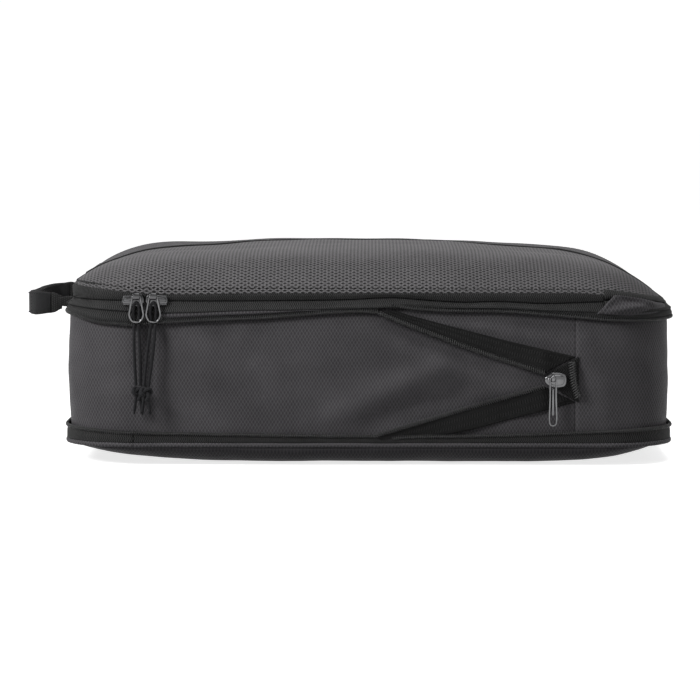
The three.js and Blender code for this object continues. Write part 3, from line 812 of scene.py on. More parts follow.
# ---- Pulls: rings, cords and knots ---------------------------------------------------------------
SLIDER_LONG = 13.0
SLIDER_HALF = 3.6
RING_OFF = 4.0
RING_TOP = MAIN_ZIP + 2.6
RING_TALL = 15.4
RING_HALF = 4.1
RING_WIRE = 0.6
CORD_R = 0.95
KNOT_Z = 44.0
LEFT_TAIL, LEFT_NOSE = -HALF_X - SLIDER_LONG / 2, -HALF_X + SLIDER_LONG / 2
RIGHT_TAIL, RIGHT_NOSE = -HALF_X + SLIDER_LONG * 1.5 + 0.8, -HALF_X + SLIDER_LONG / 2 + 0.8


def on_front(points):
    """Points in space from x, z and distance outwards on the front."""
    x, z, off = np.asarray(points, float).T
    return np.stack([x, FRONT_Y - off, z], axis=-1)


def outwards(path):
    """The front's outward normal at each point of a path."""
    return np.tile([0.0, -1, 0], (len(path), 1))


def sheet_on_front(x, z, off):
    """Points in space from grids of x, z and distance outwards on the front."""
    return np.stack([x, FRONT_Y - off + 0 * x, z], axis=-1)


def wire_ring(name, body, route, wire):
    points, faces, uv = tube(spline(on_front(route), 84, closed=True), wire, 14, closed=True)
    return add_mesh(name, points, faces, NICKEL, body, uv=uv)


def braided(parts, path, radius=CORD_R):
    """A cord whose crossing strands stand a little proud."""
    sides = 16
    turn = np.arange(sides) / sides * BRAID_STRANDS / 2 * 2 * math.pi
    run = lengths(path)[:, None] / BRAID_PITCH * 2 * math.pi
    swell = 1 + 0.05 * np.sin(turn + run) * np.sin(turn - run)
    parts.add(*tube(path, radius * swell, sides))


def pull_ring(which, x):
    bottom = RING_TOP - RING_TALL
    side = [(1.9, RING_TOP), (2.6, RING_TOP - 2), (3.5, RING_TOP - 6.6), (RING_HALF, bottom + 4.4)]
    side.append((2.6, bottom + 0.9))
    route = [(x, RING_TOP, RING_OFF)]
    route += [(x + dx, z, RING_OFF) for dx, z in side]
    route.append((x, bottom, RING_OFF))
    route += [(x - dx, z, RING_OFF) for dx, z in reversed(side)]
    return wire_ring(f"pull_ring_{which}", f"ring_{which}", route, RING_WIRE)


def pull_hitch(which, x):
    """The doubled cord's loop inside the ring: it passes behind the ring's foot."""
    bottom = RING_TOP - RING_TALL
    half = [(1.3, bottom - 2.4, 4.0), (1.4, bottom - 0.2, 2.6), (1.6, bottom + 2.4, 2.5)]
    half += [(1.7, bottom + 7, 3.2), (1.2, bottom + 10.4, 3.5)]
    route = [(x - dx, z, off) for dx, z, off in half]
    route += [(x, bottom + 11.4, 3.6)]
    route += [(x + dx, z, off) for dx, z, off in reversed(half)]
    parts = Parts()
    braided(parts, spline(on_front(route), 90), 0.85)
    return parts.make(f"pull_hitch_{which}", CORD, f"ring_{which}", own_node=False)


def pull_knot(which, x, off):
    """An overhand knot with two short tails, their ends melted and a little frayed."""
    t = np.linspace(0, 2 * math.pi, 96, endpoint=False)
    loop = [
        x + 1.05 * (np.sin(t) + 2 * np.sin(2 * t)),
        KNOT_Z + 0.2 + 1.3 * (np.cos(t) - 2 * np.cos(2 * t)),
        off - 1.15 * np.sin(3 * t),
    ]
    parts = Parts()
    parts.add(*tube(on_front(np.stack(loop, axis=-1)), 1.08, 14, closed=True))
    draw = np.random.default_rng(4)
    for side in (-1, 1):
        end = np.array([x + side * 2.2, KNOT_Z - 10.8, off - 0.3])
        tail = [(x + side * 0.9, KNOT_Z - 1, off), (x + side * 1.6, KNOT_Z - 6, off), end]
        braided(parts, spline(on_front(tail), 30), 0.9)
        for _ in range(9):
            start = end + draw.uniform(-0.5, 0.5, 3)
            stop = start + [draw.uniform(-0.6, 0.6), draw.uniform(-1.9, -1.1), draw.uniform(-0.5, 0.5)]
            middle = (start + stop) / 2 + draw.uniform(-0.15, 0.15, 3)
            parts.add(*tube(spline(on_front([start, middle, stop]), 6), 0.14, 4))
    return parts.make(f"pull_knot_{which}", CORD, f"ring_{which}")


def pull_cord(which, leg, x, side, lean, knot_out):
    """One leg of the doubled cord, from the ring's foot down to the knot."""
    top = RING_TOP - RING_TALL - RING_WIRE - 1.4
    foot = KNOT_Z + 4.2
    route = [
        (
            x + 1.3 * side * spread + lean * share,
            top + (foot - top) * share,
            RING_OFF + (knot_out - 1.6) * share,
        )
        for share, spread in ((0, 1), (0.33, 1.3), (0.67, 1.25), (1, 1))
    ]
    path = spline(on_front(route), 40)
    parts = Parts()
    braided(parts, spline(path, 100))
    name = f"pull_cord_{which}_{leg}"
    piece = parts.make(name, CORD, f"ring_{which}")


def pull(which, x, lean, knot_out):
    pull_ring(which, x)
    hitch = pull_hitch(which, x)
    knot = pull_knot(which, x + lean, RING_OFF + knot_out)
    for leg, side in (("a", -1), ("b", 1)):
        pull_cord(which, leg, x, side, lean, knot_out)


pull("left", LEFT_NOSE - 4.6, 1.0, 2.2)
pull("right", RIGHT_NOSE + 4.6, -4.0, 6.8)


# ---- Metal parts ---------------------------------------------------------------------------------
def soften(points):
    """Rounds a closed outline by cutting off its corners."""
    points = np.asarray(points, float)
    for _ in range(2):
        after = np.roll(points, -1, axis=0)
        pairs = np.stack([0.75 * points + 0.25 * after, 0.25 * points + 0.75 * after], axis=1)
        points = pairs.reshape(-1, 2)
    return points


def plate(parts, shape, inner, outer, edge=0.35):
    """A plate lying on the front, from its outline in x and z, with round edges."""
    rim = soften(shape)
    along = np.roll(rim, -1, axis=0) - np.roll(rim, 1, axis=0)
    along = unit(along)
    inwards = np.stack([-along[:, 1], along[:, 0]], axis=-1)
    if np.sum((rim.mean(axis=0) - rim) * inwards) < 0:
        inwards = -inwards
    levels = [(inner, edge), (inner + edge * 0.3, edge * 0.3), (inner + edge, 0)]
    levels += [(outer - edge, 0), (outer - edge * 0.3, edge * 0.3), (outer, edge)]
    rings = [sheet_on_front(*(rim + inwards * inset).T, off) for off, inset in levels]
    parts.add(*loft(np.stack(rings)))


def slider_shape(tail, nose, z, half):
    """A slider's plan, from its narrow tail to its broad nose."""
    away = 1 if nose > tail else -1
    side = [(tail, 0.72), (tail + away * 5, 0.8), (nose - away * 2.5, 1.0), (nose, 0.45)]
    return [(x, z + k * half) for x, k in side] + [(x, z - k * half) for x, k in reversed(side)]


def arch(parts, x, z, face, reach, rise, wide, thick):
    """A slider's bail: an arch that a pull's bar runs through."""
    side = [(-reach, face), (-reach, face + rise * 0.55), (-reach * 0.72, face + rise * 0.9)]
    route = side + [(0, face + rise)] + [(-dz, off) for dz, off in reversed(side)]
    path = spline(on_front([(x, z + dz, off) for dz, off in route]), 30)
    parts.add(*band(path, (1, 0, 0), wide, thick))


def main_slider(which, tail, nose, ring_x):
    parts = Parts()
    away = 1 if nose > tail else -1
    shape = slider_shape(tail, nose, MAIN_ZIP, SLIDER_HALF)
    plate(parts, shape, 0.9, 2.1)
    plate(parts, shape, -4.9, -3.8)
    post = ((1.2, -0.45), (5, -0.45), (5, 0.45), (1.2, 0.45))
    post = [(nose - away * dx, MAIN_ZIP + dz) for dx, dz in post]
    plate(parts, post, -4.2, 1.4, 0.1)
    for up in (-1, 1):  # the flanges that hold the tapes
        run = [(tail + away * 0.6, 0.62), (tail + away * 5, 0.7)]
        run += [(nose - away * 2.6, 0.86), (nose - away * 0.8, 0.5)]
        path = spline(on_front([(x, MAIN_ZIP + up * k * SLIDER_HALF, 2.0) for x, k in run]), 26)
        parts.add(*tube(path, 0.5, 8))
    ridge = [(tail + away * 1.2, 0.2, 2.0), (tail + away * 2.2, 0.4, 2.6)]
    ridge += [(ring_x - away * 2.4, 0.9, 2.7)]
    ridge = spline(on_front([(x, MAIN_ZIP + z, off) for x, z, off in ridge]), 16)
    parts.add(*band(ridge, (0, 0, 1), 2.2, 1.1))
    arch(parts, ring_x, RING_TOP, 1.7, 1.75, 4.0, 4.2, 0.8)
    name = f"main_slider_{which}"
    parts.make(name, GUNMETAL, f"slider_{which}")


main_slider("left", LEFT_TAIL, LEFT_NOSE, LEFT_NOSE - 4.6)
main_slider("right", RIGHT_TAIL, RIGHT_NOSE, RIGHT_NOSE + 4.6)

PULL_X = START_X - 1.6
PULL_TOP = START_Z + 1.2
PULL_FOOT = PULL_TOP - 28.0
PULL_OFF = 6.1
PULL_HALF = 1.75


def compression_slider():
    parts = Parts()
    tail, nose = START_X + 6.4, START_X - 6.4
    side = [(tail, 3.6), (START_X + 1.5, 4.5), (START_X - 2.2, 4.3), (nose + 1.1, 2.4), (nose, 0.9)]
    shape = [(x, START_Z + half) for x, half in side]
    shape += [(x, START_Z - half) for x, half in reversed(side)]
    plate(parts, shape, 3.1, 4.2, 0.45)
    crown = [(START_X + (x - START_X) * 0.8, START_Z + (z - START_Z) * 0.72) for x, z in shape]
    plate(parts, crown, 4.0, 4.9, 0.7)
    plate(parts, shape, -0.8, 0.3)
    post = [(nose + dx, START_Z + dz) for dx, dz in ((1.2, -1.1), (4.6, -1.1), (4.6, 1.1), (1.2, 1.1))]
    plate(parts, post, -0.4, 3.6, 0.1)
    arch(parts, PULL_X, PULL_TOP, 4.2, 1.8, 3.7, 2.0, 0.9)
    parts.make("compression_slider_body", NICKEL, "comp_slider")


def compression_pull():
    """A long wire loop with a slim tongue soldered between its sides."""
    side = [
        (1.3, PULL_TOP), (PULL_HALF, PULL_TOP - 3), (PULL_HALF, PULL_TOP - 12),
        (PULL_HALF + 0.3, PULL_FOOT + 8), (PULL_HALF + 0.4, PULL_FOOT + 4), (1.6, PULL_FOOT + 0.8),
    ]
    route = [(0, PULL_TOP), *side, (0, PULL_FOOT)]
    route += [(-dx, z) for dx, z in reversed(side)]
    parts = Parts()
    path = spline(on_front([(PULL_X + dx, z, PULL_OFF) for dx, z in route]), 110, closed=True)
    parts.add(*tube(path, 0.56, 14, closed=True))
    tongue = [(PULL_X, z, PULL_OFF) for z in (PULL_TOP - 6, PULL_TOP - 13, PULL_FOOT + 6)]
    wide = np.interp(np.arange(24), (0, 3, 20, 23), (0.9, 1.1, 1.3, 1.2))
    parts.add(*band(spline(on_front(tongue), 24), (1, 0, 0), wide, 0.5))
    parts.make("compression_pull_tab", NICKEL, "comp_pull")


compression_slider()
compression_pull()


# ---- Body: gusset, bottom and zips ---------------------------------------------------------------
START_SEAM = front(GUSSET_SEAM_X + 1.8)
END_SEAM = back(GUSSET_SEAM_X)
MAIN_START = back(ZIP_END_X)
MAIN_END = front(ZIP_END_X) + AROUND


def stitch_line(parts, s, off, z, pitch, thread):
    """Stitches along the outline."""
    _, _, nx, ny = outline(s)
    stitch_row(parts, place(s, off, z), np.stack([nx, ny, 0 * nx], axis=-1), pitch, thread=thread)


def follow_compression(piece):
    """Gives the piece its own copy of its mesh."""
    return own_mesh(piece)


def gusset_panel(name, start, end, lap):
    """Ripstop wall. Its edges tuck behind the zips. lap raises the edge that lies over the next panel."""
    s = around(2.2, start, end)
    t = np.linspace(0, 1, 42)
    z = low_line(s) - 2.6 + t[:, None] * (high_line(s) - low_line(s) + 5.0)
    out = gusset_out(s[None, :] + 0 * z, z)
    from_seam = np.minimum(s - start, end - s)
    out = out + lap * np.clip((6.0 - from_seam) / 1.0, 0, 1) + 0.35 * bump(from_seam, 7.5, 1.6)
    points = place(s[None, :] + 0 * z, out, z)
    follow_compression(cloth_piece(name, points, 0.4, s[None, :], z, RIPSTOP, "base"))


def gusset_stitches():
    parts = Parts()
    for seam, way in ((START_SEAM, 1), (END_SEAM, -1)):
        z = np.linspace(21.5, 86.5, 60)
        s = np.full_like(z, seam + way * 3.2)
        stitch_line(parts, s, gusset_out(s, z) + 0.62, z, 2.6, 0.22)
    follow_compression(parts.make("gusset_seam_stitches", THREAD_GREY, "base", own_node=False))


gusset_panel("gusset_main", END_SEAM - 0.4, START_SEAM + AROUND + 0.4, 0.0)
gusset_panel("gusset_hinge_end", START_SEAM - 0.6, END_SEAM + 0.6, 0.5)
gusset_stitches()


PAN_PROFILE = (
    (-36, 0.3), (-29, 0.4), (-22, 0.5), (-16, 0.9), (-11, 1.6), (-7, 2.7), (-3.6, 4.4), (-1.0, 6.6),
    (1.0, 8.7), (1.5, 10.2), (1.3, 11.6),
)


def bottom_panel():
    """The dished bottom, softly creased, its two ends lifted a little."""
    s = around(3.0)[:-1]
    middle = place(s, PAN_PROFILE[0][0], PAN_PROFILE[0][1])
    rings = [middle * [share, share, 1] for share in (0.06, 0.18, 0.33, 0.5, 0.68, 0.85)]
    rings += [place(s, off, z) for off, z in PAN_PROFILE]
    outer = np.stack(rings)
    x, y, z = (outer[..., k].copy() for k in range(3))
    sloping = np.clip(z / 5, 0, 1) * np.clip((12.0 - z) / 3, 0, 1)
    z += sloping * (0.6 * ripples(x, y, 0 * z, 55, 21) + 0.35 * ripples(x, y, 0 * z, 17, 22))
    lift = 9.8 * np.clip((-60 - x) / 118, 0, 1) ** 2.5 + 12.5 * np.clip((x - 92) / 86, 0, 1) ** 3
    lift = np.minimum(lift, 10.2)
    z += lift * np.clip((12.0 - z) / 11, 0, 1)
    z += 0.3 * (1 - sloping) * (1 + ripples(x, y, 0 * z, 60, 23)) * (z < 8)
    outer[..., 2] = z
    along = np.gradient(outer, axis=0)
    across = np.roll(outer, -1, axis=1) - np.roll(outer, 1, axis=1)
    normal = unit(np.cross(across, along))
    points, faces = loft(np.concatenate([outer, (outer + normal * np.sign(normal[3, 0, 2]) * 0.6)[::-1]]))
    # The bottom's darker ripstop is painted shade for the underside.
    add_mesh("bottom_panel", points, faces, RIPSTOP_PAINTED_SHADE, "base", uv=points[:, :2])


def bottom_fold():
    """The folded ripstop edge under the lower zip, puckered by its stitches."""
    def profile(s):
        pucker = 0.12 * np.sin(s / STITCH_PITCH * 2 * math.pi) + 0.15 * wander(s, 40, 31)
        out = [1.2, 2.0, 2.35, 2.3, 1.9, 0.9, -1.6]
        height = [11.0, 11.2, 12.0, 12.9, 13.7, 14.0, 13.8]
        return [o + pucker for o in out], [h + 0.5 * pucker for h in height]

    sweep_cloth("bottom_edge_fold", around(1.0), profile, 0.5, RIPSTOP, "base")


def lower_tape():
    def profile(s):
        top = low_line(s)
        wave = 0.15 * wander(s, 30, 33)
        out = [1.5, 1.75 + wave, 1.7 + wave, 1.4 + wave, 1.3]
        height = [13.6, 14.4, lerp(14.4, top, 0.5), top - 0.9, top + 0.6]
        return out, height

    sweep_cloth("lower_zip_tape", around(1.6), profile, 0.6, TAPE, "base")


def up_normals(path):
    along = unit(np.gradient(path, axis=0))
    flat = unit(np.stack([along[:, 1], -along[:, 0], 0 * along[:, 0]], axis=-1))
    return flat, np.cross(flat, along)


def zip_coil(name, body, s, off, z, material=COIL, across=0.75, tall=0.95, pitch=COIL_PITCH):
    """A coil's wire along the outline, and the core inside it."""
    path = place(s, off, z)
    out, up = up_normals(path)
    parts = Parts()
    parts.add(*coil_helix(path, out, up, across, tall, COIL_WIRE, pitch))
    parts.add(*tube(path, 0.25, 6))
    parts.make(name, material, body)


def coil_end(s, z, start_lift, end_lift):
    """Lifts a coil's two free ends."""
    return z + start_lift * np.exp(-(s - s[0]) / 9.0) + end_lift * np.exp(-(s[-1] - s) / 9.0)


bottom_panel()
bottom_fold()
lower_tape()


# ---- Compression zip: its two runs round the body and the open start that meets at the slider ----
RUN_START = 14.0  # the upper coil's free end, and the lower coil's
UPPER_BREAK = 6.0
LOWER_BREAK = 3.5
UPPER_RUN = front(RUN_START), front(UPPER_BREAK) + AROUND
LOWER_RUN = front(RUN_START), front(LOWER_BREAK) + AROUND
MAIN_STEP = 0.45
UPPER_COIL = ((6, 91.2), (13, 88.2), (30, 81.6), (66, 68), (104, 55.4))
UPPER_SEWN = ((16, 92.4), (28, 88.6), (64, 79.2), (92, 72.2), (122.4, 65.2))
LOWER_COIL = ((3.5, 18.2), (10, 20.2), (28, 25.6), (66, 37), (104, 47.6))
LOWER_SEWN = ((12, 12.8), (36, 16.8), (62, 22.2), (88, 29.0), (122.4, 38.0))
START_TAPE_GAP = 0.55


def over_gusset(x, z, off):
    """At least a little in front of the gusset."""
    return np.maximum(off, gusset_out(front(x), z) + START_TAPE_GAP)


def start_tape(name, coil, sewn, way):
    """The tape between the free coil edge and the edge sewn to the gusset."""
    a, b = spline(coil, 90), spline(sewn, 90)
    rows = np.linspace(0, 1, 12)[:, None, None]
    flat = a[None] + (b - a)[None] * rows
    x, z = flat[..., 0], flat[..., 1]
    droop = 1.9 - 0.9 * rows[..., 0] + 0.35 * ripples(x, 0 * x, z, 26, 41)
    droop -= 3 * np.clip((x - 104) / 8, 0, 1)
    points = sheet_on_front(x, z, over_gusset(x, z, droop))
    run = lengths(a)
    width = np.linalg.norm(b - a, axis=1).mean()
    v = rows[..., 0] * width
    thick = 0.45 * way
    follow_compression(cloth_piece(name, points, thick, run[None, :], v, START_TAPE, "base"))
    parts = Parts()
    for share in (0.8, 0.93):
        line = a + (b - a) * share
        off = over_gusset(line[:, 0], line[:, 1], 1.9 - 0.9 * share) + 0.1
        path = on_front(np.column_stack([line, off]))
        stitch_row(parts, path, outwards(path), 2.4, thread=0.2)
    follow_compression(parts.make(f"{name}_stitches", THREAD_BLACK, "base", own_node=False))


def start_coil(name, coil):
    line = spline(coil, 160)
    off = over_gusset(line[:, 0], line[:, 1], 1.9) + 0.75
    path = on_front(np.column_stack([line, off]))
    along = unit(np.gradient(path, axis=0))
    out = outwards(path)
    parts = Parts()
    parts.add(*coil_helix(path, out, np.cross(along, out), 0.7, 1.25, COIL_WIRE, OPEN_PITCH))
    follow_compression(parts.make(name, OPEN_COIL, "base"))


def start_end():
    """The two tapes' ends, one patch from the slider to the seam, and the coils' loose tail over it."""
    share = np.linspace(0, 1, 24)
    x = lerp(109.5, 124.2, share)
    low, high = lerp(46.6, 37.8, share), lerp(57.4, 65.4, share)
    rows = np.linspace(0, 1, 16)[:, None]
    x, z = x + 0 * rows, low + rows * (high - low)
    off = gusset_out(front(x), z) + 1.35
    points = sheet_on_front(x, z, off)
    follow_compression(cloth_piece("start_tape_end", points, 0.4, x, z, START_TAPE, "base"))
    tail = [(120.0, 62.4, 2.9), (120.6, 56, 3.7), (121.2, 50, 3.7), (123.8, 41, 2.8)]
    path = spline(on_front(tail), 80)
    along = unit(np.gradient(path, axis=0))
    out = outwards(path)
    parts = Parts()
    parts.add(*coil_helix(path, out, np.cross(along, out), 1.3, 2.0, 0.36, pitch=1.5, lean=0.6))
    parts.make("start_coil_tail", TAIL_COIL, "zip_start")


def compression_runs():
    s = around(1.0, *UPPER_RUN)
    z = coil_end(s, high_line(s), 2.6, 0.3)
    zip_coil("upper_zip_coil", "rim", s, 1.9, z, OPEN_COIL, pitch=OPEN_PITCH)
    s = around(1.0, *LOWER_RUN)
    z = coil_end(s, low_line(s), -1.2, 0.2)
    zip_coil("lower_zip_coil", "base", s, 1.75, z, OPEN_COIL, pitch=OPEN_PITCH)


start_tape("upper_start_tape", UPPER_COIL, UPPER_SEWN, 1)
start_tape("lower_start_tape", LOWER_COIL, LOWER_SEWN, -1)
start_coil("upper_start_coil", UPPER_COIL)
start_coil("lower_start_coil", LOWER_COIL)
start_end()
compression_runs()


# ---- Rim: the compression zip's upper tape, the ripstop strip and the main zip -------------------
def flare(s):
    """1 at the two front corners and the two back ones, where the rim's tapes stand out from the body."""
    at = [front(HALF_X + 12) + CORNER_ARC * 0.25, back(HALF_X) - CORNER_ARC * 0.5]
    at += [back(-HALF_X) + CORNER_ARC * 0.5, AROUND - CORNER_ARC * 0.5]
    s = np.mod(s, AROUND)
    return sum(np.exp(-((np.minimum(abs(s - c), AROUND - abs(s - c)) / 26.0) ** 2)) for c in at)


def upper_tape():
    def profile(s):
        line, lip = high_line(s), flare(s)
        wave = 0.2 * wander(s, 34, 51)
        out = [1.3, 1.8 + 0.6 * lip, 2.0 + 1.4 * lip + wave, 1.8 + 1.2 * lip + wave, 1.1 + 0.2 * lip, 0.2]
        height = [line - 0.3, line + 0.9, line + 2.2, line + 3.6, lerp(line, 95.0, 0.86), 95.2]
        return out, height

    s = around(1.6, *UPPER_RUN)
    sweep_cloth("upper_zip_tape", s, profile, 0.5, TAPE, "rim")


def rim_strip():
    """The ripstop sliver between the two zips. It shows along the left of the front."""
    def profile(s):
        x = np.mod(s, AROUND)
        shows = 0.5 + 0.5 * np.tanh((front(-28) - x) / 6.0) * np.tanh((x - front(-120)) / 5.0)
        line, foot = high_line(s), zip_foot(s)
        low = np.minimum(line + 2.2, foot - 0.5)
        out = [0.9, 1.2 + 1.2 * shows, 1.4 + 1.1 * shows, 1.2 + 0.9 * shows, 0.8, -1.6]
        height = [low + 0.1, low, lerp(low, foot, 0.6), foot + 0.1, foot + 0.5, foot + 0.4]
        return out, height

    s = around(2.0, *UPPER_RUN)
    sweep_cloth("rim_strip", s, profile, 0.45, RIPSTOP, "rim")


def scallop(s):
    """The small steps that the chain's teeth press into the tapes' folded edges."""
    return np.abs(np.sin(s / COIL_PITCH * math.pi))


def main_lower_tape():
    def profile(s):
        mid, tooth = zip_line(s), scallop(s)
        wave = 0.25 * wander(s, 42, 52)
        proud = 2.4 + 0.4 * flare(s) + wave
        foot = zip_foot(s)
        out = [0.9, proud - 0.5, proud, proud - 0.35, 1.35, 0.35]
        out += [-0.25 + 0.2 * tooth, -0.6 + 0.25 * tooth, -1.5]
        rise = mid - foot
        shares = [-0.02, -0.03, 0.03, 0.16, 0.42, 0.66, 0.84]
        height = [foot + k * rise for k in shares] + [mid - 0.2 + 0.1 * tooth, mid - 0.4]
        return out, height

    s = around(MAIN_STEP, MAIN_START, MAIN_END)
    sweep_cloth("main_zip_lower_tape", s, profile, 0.5, TAPE, "rim")
    parts = Parts()
    s = around(2.0, MAIN_START + 4, MAIN_END - 4)
    proud = 2.5 + 0.5 * flare(s) + 0.25 * wander(s, 42, 52)
    stitch_line(parts, s, proud + 0.04, zip_foot(s) + 0.5, 2.3, 0.26)
    parts.make("main_zip_stitches", THREAD_BLACK, "rim", own_node=False)


def main_upper_tape():
    def profile(s):
        mid, tooth = zip_line(s), scallop(s)
        edge = lid_edge(outline(s)[0])
        out = [-1.5, -0.6 + 0.25 * tooth, -0.25 + 0.2 * tooth, 0.15, 0.2, -0.5, -1.7, -3.6]
        height = [mid + 0.4, mid + 0.2 - 0.1 * tooth, mid + 0.9, lerp(mid, edge, 0.55)]
        height += [edge - 1.3, edge - 0.3, edge + 0.8, edge + 2.4]
        return out, height

    s = around(MAIN_STEP, MAIN_START, MAIN_END)
    sweep_cloth("main_zip_upper_tape", s, profile, 0.45, TAPE, "lid")


def main_coils():
    s = around(1.0, MAIN_START, MAIN_END)
    for name, body, rise in (("main_zip_lower_coil", "rim", -0.55), ("main_zip_upper_coil", "lid", 0.55)):
        zip_coil(name, body, s, -2.35, zip_line(s) + rise, across=0.6, tall=0.8)


def hinge_bands():
    """Black cloth across the end where the lid is hinged: a half on each side, and a strip that bends."""
    s = around(2.0, front(ZIP_END_X), back(ZIP_END_X))

    def low(s):
        proud = 2.2 + 1.2 * flare(s)
        foot, top = zip_foot(s), np.minimum(98.2, lid_edge(outline(s)[0]) - 1.0)
        height = [lerp(foot, top, k) for k in (0.04, 0, 0.25, 0.55, 0.85, 1)]
        return [0.9, proud, proud + 0.1, 1.3, 0.5, 0.1], height

    def high(s):
        edge = lid_edge(outline(s)[0])
        top = np.minimum(98.8, edge - 0.7)
        height = [top, lerp(top, edge, 0.5), edge, edge + 1, edge + 2, edge + 3]
        return [0.1 + 0 * s, 0.5, 0.5, -0.3, -1.6, -3.4], height

    sweep_cloth("hinge_fabric_lower", s, low, 0.5, TAPE, "rim")
    sweep_cloth("hinge_fabric_upper", s, high, 0.45, TAPE, "lid")
    s = around(2.0, front(HALF_X) + CORNER_ARC + 6, back(HALF_X) - CORNER_ARC - 6)
    rows = np.linspace(0, 1, 17)[:, None]
    z = lerp(93.2, 97.2, rows) + 0 * s
    off = -0.35 - 0.5 * np.sin(math.pi * rows) + 0 * s
    points = place(s + 0 * rows, off, z)
    mesh_only = cloth_piece("hinge_bend", points, 0.4, s, z, TAPE, None, own_node=False)
    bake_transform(mesh_only)


def zip_end_tab(name, mirror):
    """A ripstop tab over the zip's end, folded into the corner, with a stitched slanting edge."""
    columns = np.linspace(0, 1, 34)
    rows = np.linspace(0, 1, 18)[:, None]
    run = 44.0
    x0 = lerp(134.5, 144.5, rows)
    along = x0 + columns * (ZIP_END_X + run - x0)
    low = np.interp(along, (134, 150, 165, ZIP_END_X + run), (90.7, 89.4, 89.2, 90.6))
    high = np.interp(along, (134, 147, 160, 172, ZIP_END_X + run), (101.8, 101.6, 99.6, 96.8, 95.4))
    z = low + rows * (high - low)
    fold = 2.0 * crease(along, z, 138, 91.4, 172, 97.0, 2.2)
    fold -= 1.6 * crease(along, z, 146, 99.6, 170, 94.4, 1.7)
    off = 2.9 + 0.5 * np.sin(math.pi * rows) + fold + 0.25 * ripples(along, 0 * along, z, 14, 61)
    off = off - 1.2 * np.clip((columns - 0.75) / 0.25, 0, 1) - 0.5 * np.clip((rows - 0.8) / 0.2, 0, 1)
    s = front(along)
    points = place(s, off, z)
    edge = place(s[:, 1], off[:, 1] + 0.16, z[:, 1]) + [1.1, 0, 0]
    if mirror:
        points, edge = points * [1, -1, 1], edge * [1, -1, 1]
    cloth_piece(name, points, 0.5 if mirror else -0.5, along, z, RIPSTOP, "rim")
    parts = Parts()
    out = np.tile([0.0, 1.0 if mirror else -1.0, 0], (len(edge), 1))
    stitch_row(parts, edge, out, 2.0, thread=0.2)
    parts.make(f"{name}_stitches", THREAD_BLACK, "rim", own_node=False)


upper_tape()
rim_strip()
main_lower_tape()
main_upper_tape()
main_coils()
hinge_bands()
zip_end_tab("zip_end_tab_front", False)
zip_end_tab("zip_end_tab_back", True)


# ---- Inside: the seams' bindings -----------------------------------------------------------------
def inner_binding(name, body, low, high):
    """A folded tape that covers a seam's raw edges inside, held by one row of stitches."""
    def profile(s):
        wave = 0.25 * wander(s, 40, 71)
        out = [-2.6, -4.0, -4.3, -4.0, -2.6]
        return [o + wave for o in out], [low + 0.2 + 0 * s, low, lerp(low, high, 0.5), high, high - 0.2]

    sweep_cloth(name, around(2.5), profile, 0.4, BINDING, body)
    parts = Parts()
    s = around(2.5)
    _, _, nx, ny = outline(s)
    path = place(s, -4.35, lerp(low, high, 0.78))
    stitch_row(parts, path, -np.stack([nx, ny, 0 * nx], axis=-1), thread=0.25)
    parts.make(f"{name}_stitches", THREAD_BLACK, body, own_node=False)


inner_binding("inner_bottom_binding", "base", 14.2, 19.3)
inner_binding("inner_rim_binding", "rim", 86.6, 92.8)


# ---- Lid: mesh in front of a curved seam, plain ripstop behind it --------------------------------
DOME_OFF = -0.6
FULL_END, SLACK_END = 7.0, 3.9
SEAM_MIDDLE, SEAM_SWEEP = 45.0, 75.0
NET_ROW = 1.5
NET_HOLE, NET_EDGE_HOLE = 0.36, 0.5  # a hole as a share of its cell, inside and along the front edge
LID_HALF_X = LENGTH / 2 + DOME_OFF
LID_HALF_Y = WIDTH / 2 + DOME_OFF
LID_CORNER = CORNER + DOME_OFF
EDGE_STITCHES_IN = 2.8


def lid_share(x, y):
    """How far out a point of the lid lies: 0 at the centre and 1 at the edge."""
    x, y = np.broadcast_arrays(np.asarray(x, float), np.asarray(y, float))
    low, high = np.full(x.shape, 1e-3), np.full(x.shape, 2.0)
    for _ in range(26):
        share = (low + high) / 2
        qx = np.maximum(np.abs(x) / share - (LID_HALF_X - LID_CORNER), 0)
        qy = np.maximum(np.abs(y) / share - (LID_HALF_Y - LID_CORNER), 0)
        inside = np.hypot(qx, qy) <= LID_CORNER
        high = np.where(inside, share, high)
        low = np.where(inside, low, share)
    return high


def lid_height(x, y):
    share = np.minimum(lid_share(x, y), 1.03)
    fullness = lerp(FULL_END, SLACK_END, x / LENGTH + 0.5)
    loose = np.clip((1 - share) / 0.12, 0, 1)
    soft = 0.55 * ripples(x, y, 0 * x, 90, 81) + 0.22 * ripples(x, y, 0 * x, 31, 82)
    pull = -0.7 * bump(y - seam_y(x), 0, 9) * loose
    slack = 2.3 * bump(x, -102, 28) + 2.7 * bump(x, 94, 36)
    top = LID_EDGE + DOME - 0.4 - slack
    edge = lid_edge(x)
    return edge + (top - edge) * (1 - share**fullness) + soft * loose + pull


def seam_y(x):
    return SEAM_MIDDLE - SEAM_SWEEP * (2 * x / LENGTH) ** 2


def edge_y(x):
    """Half the lid's depth at x."""
    past = np.clip(np.abs(x) - (LID_HALF_X - LID_CORNER), 0, LID_CORNER)
    return LID_HALF_Y - LID_CORNER + np.sqrt(LID_CORNER**2 - past**2)


def lid_point(x, y, lift=0.0):
    """A point on the lid, lifted along its normal."""
    z, d = lid_height(x, y), 0.4
    slope_x = (lid_height(x + d, y) - lid_height(x - d, y)) / (2 * d)
    slope_y = (lid_height(x, y + d) - lid_height(x, y - d)) / (2 * d)
    long = np.sqrt(1 + slope_x**2 + slope_y**2)
    return np.stack([x - lift * slope_x / long, y - lift * slope_y / long, z + lift / long], axis=-1)


